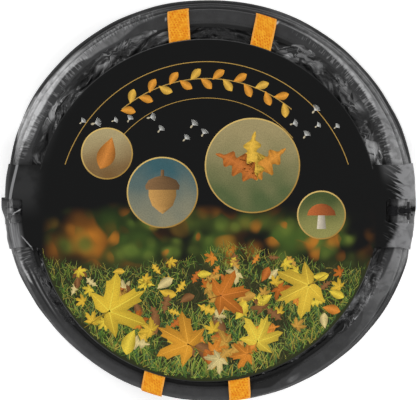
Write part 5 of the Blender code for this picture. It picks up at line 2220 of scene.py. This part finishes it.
    def leaf(self, bm: BMesh, middle: Point, turn: float, length: float, kind: LeafKind, z: float,
             tone: Colour) -> None:
        """One leaf with a pale midrib, left out or cut off at the card's edge.

        Args:
            bm: The mesh that it joins.
            middle: Middle of the leaf.
            turn: Direction of its tip.
            length: Its length.
            kind: Its outline.
            z: Its height.
            tone: Its colour.
        """
        if not self.inside(*middle, (0.62 if kind is LeafKind.POINTED else 0.45) * length):
            return
        if kind is LeafKind.POINTED:
            self.maple(bm, middle, turn, length, z, tone)
            return
        steps = {LeafKind.OVAL: 10, LeafKind.LOBED: 22}[kind]
        curl = self.rng.uniform(-0.35, 0.35)
        rows = []
        for share in (k / steps for k in range(steps + 1)):
            swell = 0.27 * length * math.sin(math.pi * share**0.8)
            if kind is LeafKind.LOBED:
                swell *= 0.72 + 0.34 * math.cos(FULL_TURN * 4.0 * share + 0.6)
            swell = max(swell, 0.012 * length)
            stem = polar((share - 0.5) * length, turn, middle)
            bow = curl * length * (share - 0.5) ** 2
            points = [polar(bow + aside, turn + RIGHT_ANGLE, stem) for aside in (-swell, 0.0, swell)]
            if all(self.inside(*point) for point in points):
                vein = 0.80 + 0.25 * math.cos(FULL_TURN * 9.0 * share)
                tones = (shade(tone, 0.84 * vein), shade(tone, 1.20, 0.015), shade(tone, 1.02 * vein))
                rows.append(list(zip(points, tones)))
        if len(rows) > 1:
            self.strip(bm, z, [row[:2] for row in rows])
            self.strip(bm, z, [row[1:] for row in rows])

    def maple(self, bm: BMesh, middle: Point, turn: float, length: float, z: float, tone: Colour) -> None:
        """A five-lobed leaf with its veins and stalk.

        Args:
            bm: The mesh that it joins.
            middle: Middle of the leaf.
            turn: Direction of its tip.
            length: Its length.
            z: Its height.
            tone: Its colour.
        """
        twist = self.rng.uniform(-0.12, 0.12)
        foot = polar(-0.20 * length, turn, middle)

        def point(degrees: float, share: float) -> Point:
            """A point of the leaf, by direction and distance from the stalk's end."""
            return polar(0.66 * length * share, turn + math.radians(degrees) + twist * share, foot)

        half, stalk = self.maple_edge, 184.0
        heart = self.dot(bm, foot, z, shade(tone, 1.05))
        ring = []
        for degrees, share in [*half, *((-degrees, share) for degrees, share in reversed(half[1:-1]))]:
            side = 1.06 if degrees > 0.0 else 0.82
            ring.append([self.dot(bm, point(degrees, reach * share), z, shade(tone, glow * side))
                         for reach, glow in ((0.55, 1.0), (1.0, 0.80))])
        for (inner, outer), (next_inner, next_outer) in zip(ring, ring[1:] + ring[:1]):
            bm.faces.new((heart, inner, next_inner))
            bm.faces.new((inner, outer, next_outer, next_inner))
        for degrees, share, width in ((0.0, 0.92, 0.012), (50.0, 0.86, 0.010), (-50.0, 0.86, 0.010),
                                      (106.0, 0.58, 0.008), (-106.0, 0.58, 0.008), (stalk, 0.72, 0.011)):
            aim = turn + math.radians(degrees) + RIGHT_ANGLE
            colour = shade(tone, 0.45) if degrees == stalk else shade(tone, 1.30, 0.02)
            sides = [either_side(point(degrees, share * step), aim, (1.0 - 0.75 * step) * width * length)
                     for step in (0.0, 0.5, 1.0)]
            self.strip(bm, z + 0.000002, [tuple((end, colour) for end in pair) for pair in sides])

    def disc(self, bm: BMesh, middle: Point, inner: float, outer: float, z: float, tone: Tone) -> None:
        """A printed ring or disc.

        Args:
            bm: The mesh that it joins.
            middle: Its middle.
            inner: Inner radius, 0 on a disc.
            outer: Outer radius.
            z: Its height.
            tone: The colour at a place from its middle.
        """
        bands = 1 if inner > 0.0 else 6
        for k in range(bands):
            low, high = (between(inner, outer, n / bands) for n in (k, k + 1))
            self.band(bm, middle, (low, high), (0.0, FULL_TURN), 64, z, tone)

    def ground_spot(self, half_width: float) -> tuple[float, float, float]:
        """Draws a place on the grass, with how near it is, from 0 at the horizon to 1 at the card's lower edge."""
        x, nearness = self.rng.uniform(-half_width, half_width), self.rng.random()
        top = self.horizon + 0.012 * math.sin(19.0 * x + 0.8) + 0.02 * bumps(14.0 * x, 0.0, 3.0)
        return x, between(top, self.card.centre[1] - self.card.radius - 0.012, nearness), nearness

    def build_ground(self) -> None:
        """Grass and fallen leaves over the lower part of the card."""
        rng, kinds, ink = self.rng, list(LeafKind), self.card.finishes.ink
        grass, leaves = self.start(), self.start()
        for _ in range(self.blades):
            x, y, nearness = self.ground_spot(0.23)
            if self.inside(x, y, -0.016):
                tone = rng.choice(self.greens) if bumps(x, y, 12.0, 26.0) > -0.30 else self.thatch
                size = 0.55 + 0.75 * nearness
                self.blade(grass, (x, y), rng.gauss(0.0, 0.75), rng.uniform(0.009, 0.026) * size,
                           rng.uniform(0.0010, 0.0022) * size, self.level(0.55 * nearness + 0.1 * rng.random()), tone)
        for _ in range(self.litter):
            x, y, nearness = self.ground_spot(0.22)
            if self.inside(x, y, 0.004):
                size = 0.014 + 0.030 * nearness * rng.random() + 0.008 * rng.random()
                self.leaf(leaves, (x, y), rng.uniform(0.0, FULL_TURN), size, rng.choice(kinds),
                          self.level(0.30 + 0.45 * nearness + 0.05 * rng.random()), rng.choice(self.fallen))
        for place, turn, size, tone in self.large:
            self.leaf(leaves, place, turn, size, LeafKind.POINTED, self.level(0.86 + 0.05 * rng.random()), tone)
        self.add("card_print_grass", grass, ink)
        self.add("card_print_leaves", leaves, ink)

    def build_garland(self) -> None:
        """A bow of orange leaves near the card's upper edge, with fine gold lines beside it."""
        bm, foil = self.start(), self.start()
        orange, amber = (0.80, 0.33, 0.030), (0.80, 0.46, 0.060)
        line = ((0.46, 0.27, 0.06), (0.60, 0.38, 0.10))
        reach, count = 0.176, 17
        for k in range(count):
            angle = math.radians(52.0 + 76.0 * k / (count - 1))
            side = 1.0 if k % 2 else -1.0
            self.leaf(bm, polar(reach + 0.0062 * side, angle, self.card.centre), angle + RIGHT_ANGLE + 0.75 * side,
                      0.0200, LeafKind.OVAL, self.level(0.5), orange if k % 3 else amber)
        for radius, half, start, stop in ((reach, 0.0006, 50.0, 130.0), (0.1985, 0.0005, 18.0, 162.0),
                                          (0.1500, 0.0004, 40.0, 140.0)):
            self.band(foil, self.card.centre, (radius - half, radius + half),
                      (math.radians(start), math.radians(stop)), 90, self.level(0.4), lambda x, y, side: line[side])
        self.add("card_print_garland", bm, self.card.finishes.ink)
        self.add("card_print_gold_lines", foil, self.card.finishes.gold)

    def build_edge(self) -> None:
        """The pale cut edge of the board, between the tabs."""
        bm = self.start()

        def tone(x: float, y: float, side: int) -> Colour:
            """Dark on the inner edge, and pale by turns on the outer one."""
            glow = 0.5 + 0.5 * math.cos(3.0 * math.atan2(y, x) + 1.0)
            return (0.035 + 0.10 * glow,) * 3 if side else (0.010, 0.010, 0.010)

        for start, stop in ((14.0, 166.0), (196.0, 344.0)):
            self.band(bm, self.card.centre, (self.card.radius - self.edge_width, self.card.radius - 0.0001),
                      (math.radians(start), math.radians(stop)), 120, self.level(0.2), tone)
        self.add("card_cut_edge", bm, self.card.finishes.ink)

    def field_tone(self, upper: Colour, lower: Colour, size: float, x: float, y: float, _: int) -> Colour:
        """Colour of a roundel's ground.

        Args:
            upper: Its colour at the top.
            lower: Its colour at the foot.
            size: Its radius.
            x: The place from its middle, to the right.
            y: The place from its middle, up.

        Returns:
            The colour.
        """
        share = ease(-size, size, y) + 0.25 * bumps(x, y, size, 45.0)
        return mix(lower, upper, min(1.0, max(0.0, share)))

    def ring_tone(self, x: float, y: float, _: int) -> Colour:
        """Colour of a gold ring, lighter to the upper left."""
        return mix(*self.gold, 0.5 + 0.5 * math.cos(math.atan2(y, x) - math.radians(125.0)))

    def build_roundels(self) -> None:
        """Gold-ringed roundels, each with one simple autumn motif."""
        rings, fields = self.start(), self.start()
        for middle, radius, upper, lower, draw in (
            ((0.058, 0.046), 0.062, (0.42, 0.34, 0.16), (0.10, 0.14, 0.05), self.draw_oak_sprig),
            ((-0.062, 0.010), 0.046, (0.05, 0.13, 0.15), (0.30, 0.28, 0.18), self.draw_acorn),
            ((-0.136, 0.062), 0.033, (0.50, 0.40, 0.20), (0.22, 0.12, 0.04), self.draw_leaf),
            ((0.150, -0.020), 0.031, (0.07, 0.10, 0.03), (0.34, 0.32, 0.10), self.draw_mushroom),
        ):
            self.disc(fields, middle, 0.0, radius, self.level(0.92), partial(self.field_tone, upper, lower, radius))
            self.disc(rings, middle, radius - 0.0002, radius + 0.0016, self.level(1.0), self.ring_tone)
            draw(fields, middle, radius)
        self.add("card_print_roundels", fields, self.card.finishes.ink)
        self.add("card_print_gold_rings", rings, self.card.finishes.gold)

    def draw_leaf(self, bm: BMesh, middle: Point, radius: float) -> None:
        """A single upright leaf."""
        self.leaf(bm, middle, math.radians(70.0), 1.35 * radius, LeafKind.OVAL, self.level(0.97), (0.62, 0.22, 0.03))

    def draw_oak_sprig(self, bm: BMesh, middle: Point, radius: float) -> None:
        """Three lobed leaves on one stalk."""
        stalk = (middle[0], middle[1] - 0.16 * radius)
        for turn, tone in ((35.0, (0.70, 0.28, 0.03)), (92.0, (0.80, 0.48, 0.05)), (148.0, (0.55, 0.16, 0.02))):
            angle = math.radians(turn)
            self.leaf(bm, polar(0.36 * radius, angle, stalk), angle, 1.05 * radius, LeafKind.LOBED,
                      self.level(0.965 + 0.0001 * turn), tone)

    def draw_acorn(self, bm: BMesh, middle: Point, radius: float) -> None:
        """An acorn in its cup."""
        nut = ((0.0, -0.62), (0.10, -0.55), (0.30, -0.38), (0.40, -0.10), (0.40, 0.14))
        cup = ((0.48, 0.08), (0.50, 0.20), (0.40, 0.36), (0.20, 0.45), (0.05, 0.48), (0.045, 0.66))
        self.turned(bm, middle, radius, nut, (0.52, 0.28, 0.08), 0.96)
        self.turned(bm, middle, radius, cup, (0.22, 0.12, 0.05), 0.975)

    def draw_mushroom(self, bm: BMesh, middle: Point, radius: float) -> None:
        """A mushroom with a rust-brown cap."""
        stem = ((0.20, -0.60), (0.17, -0.30), (0.14, 0.05))
        cap = ((0.62, -0.02), (0.56, 0.18), (0.40, 0.36), (0.20, 0.46), (0.0, 0.49))
        self.turned(bm, middle, radius, stem, (0.62, 0.55, 0.42), 0.96)
        self.turned(bm, middle, radius, cap, (0.45, 0.12, 0.03), 0.975)

    def turned(self, bm: BMesh, middle: Point, radius: float, profile: tuple[Point, ...], tone: Colour,
               share: float) -> None:
        """A flat shape with both sides alike, light on its left.

        Args:
            bm: The mesh that it joins.
            middle: Middle of its roundel.
            radius: Radius of its roundel.
            profile: Its half width by height, both as shares of the radius.
            tone: Its colour.
            share: Its layer.
        """
        tones = (shade(tone, 1.35), shade(tone, 0.55))
        self.strip(bm, self.level(share), [
            tuple(zip(either_side((middle[0], middle[1] + radius * y), 0.0, radius * x), tones)) for x, y in profile
        ])

    def build_seeds(self) -> None:
        """Pale seeds drifting across the black field, clear of the roundels and the garland."""
        bm, rng = self.start(), self.rng
        pale, husk = (0.74, 0.74, 0.70), (0.60, 0.52, 0.36)
        clear = (((0.058, 0.046), 0.070), ((-0.136, 0.062), 0.041))
        sown: list[Point] = []
        for _ in range(self.seeds):
            x = rng.uniform(-0.20, 0.20)
            y = 0.085 + 0.055 * bumps(9.0 * x, 2.0, 0.0) + rng.uniform(-0.018, 0.022)
            apart = (*clear, *((spot, self.seed_gap) for spot in sown))
            if not self.inside(x, y, 0.012) or y > 0.135 or any(math.dist((x, y), spot) < gap for spot, gap in apart):
                continue
            sown.append((x, y))
            turn, size = rng.uniform(0.2, 1.1), rng.uniform(0.0050, 0.0092)
            for spread in range(7):
                lean = turn + (spread - 3) * 0.28
                ends = ((x, y), polar(size, lean, (x, y)))
                self.strip(bm, self.level(0.5 + 0.01 * spread), [
                    tuple((side, pale) for side in either_side(end, lean + RIGHT_ANGLE, 0.00026)) for end in ends
                ])
            self.leaf(bm, polar(-0.3 * size, turn, (x, y)), turn, 0.7 * size, LeafKind.OVAL, self.level(0.6), husk)
        self.add("card_print_seeds", bm, self.card.finishes.ink)


@dataclass
class Studio:
    """A pale floor, soft light and the camera straight above.

    Args:
        stack: Sizes of the stack.
        width: Width of the view at the card's height.
        lens: Focal length in millimetres.
        sensor: Width of the camera's sensor in millimetres.
        view: The point that it looks down on.
        glow: How bright the floor is to the camera, besides its light.
    """

    stack: Stack
    width: float = 0.5560
    lens: float = 800.0
    sensor: float = 36.0
    view: Point = (-0.0006, 0.0)
    glow: float = 0.46

    def build(self) -> None:
        """Builds the floor, lamps and camera."""
        self.build_world()
        self.build_floor()
        self.add_lamp("lamp_upper_left", (-1.6, 1.2, 1.3), 1.0, 19.0)
        self.add_lamp("lamp_right", (1.9, 0.3, 1.1), 1.0, 15.0)
        self.add_lamp("lamp_front", (0.3, -1.7, 1.7), 1.2, 17.0)
        self.add_camera()
        bpy.context.scene.view_settings.view_transform = "Standard"

    def build_world(self) -> None:
        """An even white sky, brighter near the horizon."""
        world = bpy.data.worlds.new("studio")
        bpy.context.scene.world = world
        world.use_nodes = True
        nodes, links = world.node_tree.nodes, world.node_tree.links
        direction, height, fall = (nodes.new(f"ShaderNode{kind}") for kind in ("TexCoord", "SeparateXYZ", "MapRange"))
        for key, value in (("From Min", 0.0), ("From Max", 1.0), ("To Min", 0.80), ("To Max", 0.16)):
            fall.inputs[key].default_value = value
        sky = nodes["Background"]
        sky.inputs["Color"].default_value = (1.0, 1.0, 1.0, 1.0)
        links.new(direction.outputs["Generated"], height.inputs[0])
        links.new(height.outputs["Z"], fall.inputs["Value"])
        links.new(fall.outputs[0], sky.inputs["Strength"])

    def build_floor(self) -> None:
        """The white floor, just under the bag."""
        bm = bmesh.new()
        bmesh.ops.create_grid(bm, x_segments=1, y_segments=1, size=6.0)
        bmesh.ops.translate(bm, verts=bm.verts, vec=(0.0, 0.0, -0.0002))
        mesh = bpy.data.meshes.new("floor")
        bm.to_mesh(mesh)
        bm.free()
        floor = link("floor", mesh)
        made = Nodes("floor_paper", 0.9, specular=0.1)
        path = made.node("LightPath")
        camera, glossy, through = (Signal(made, path.outputs[f"Is {ray} Ray"])
                                   for ray in ("Camera", "Glossy", "Transmission"))
        made.put("Base Color", (0.93, 0.93, 0.93))
        made.put("Emission Color", (1.0, 1.0, 1.0))
        made.put("Emission Strength", camera.most(glossy).most(through) * self.glow)
        mesh.materials.append(made.material)

    def add_lamp(self, name: str, place: tuple[float, float, float], size: float, power: float) -> None:
        """A soft square lamp that faces the bag.

        Args:
            name: Name of the lamp.
            place: Where it hangs.
            size: Length of its side.
            power: Its power in watts.
        """
        light = bpy.data.lights.new(name, "AREA")
        light.energy = power
        light.size = size
        lamp = link(name, light)
        lamp.location = place
        lamp.rotation_euler = (-Vector(place)).to_track_quat("-Z", "Y").to_euler()

    def add_camera(self) -> None:
        """The camera, looking straight down with the back handle at the top."""
        data = bpy.data.cameras.new("camera")
        data.lens = self.lens
        data.sensor_width = self.sensor
        data.clip_end = 50.0
        camera = link("camera", data)
        camera.location = (*self.view, self.stack.crest_z + self.width * self.lens / self.sensor)
        bpy.context.scene.camera = camera


def main() -> None:
    """Builds the dressed bag and the studio round it."""
    logging.basicConfig(level=logging.INFO, format="%(relativeCreated)7.0f ms  %(message)s")
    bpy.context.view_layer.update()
    stack = Stack.from_frame()
    finishes = Finishes()
    Studio(stack).build()
    hem = Hem(stack, finishes, Shine())
    Rims(hem).build()
    Coil(hem).build()
    WallCloth(hem).build()
    Webbing(stack, finishes).build()
    for side, body, glare_share in ((1.0, Body.CLOSURE_RIGHT, 0.0), (-1.0, Body.CLOSURE_LEFT, 1.0)):
        Closure(stack, finishes, side, body, hem.shine, glare_share).build()
    card = DisplayCard(stack, finishes)
    card.build()
    Print(card).build()


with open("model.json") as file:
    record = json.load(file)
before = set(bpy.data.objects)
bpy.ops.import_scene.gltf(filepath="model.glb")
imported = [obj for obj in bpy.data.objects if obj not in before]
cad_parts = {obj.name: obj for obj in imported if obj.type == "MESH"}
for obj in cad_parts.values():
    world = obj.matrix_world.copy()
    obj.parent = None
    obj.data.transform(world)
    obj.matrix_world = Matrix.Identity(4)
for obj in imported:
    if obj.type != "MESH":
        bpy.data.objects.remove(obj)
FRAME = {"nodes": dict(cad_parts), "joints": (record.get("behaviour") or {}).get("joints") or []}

if __name__ == "__main__":
    main()
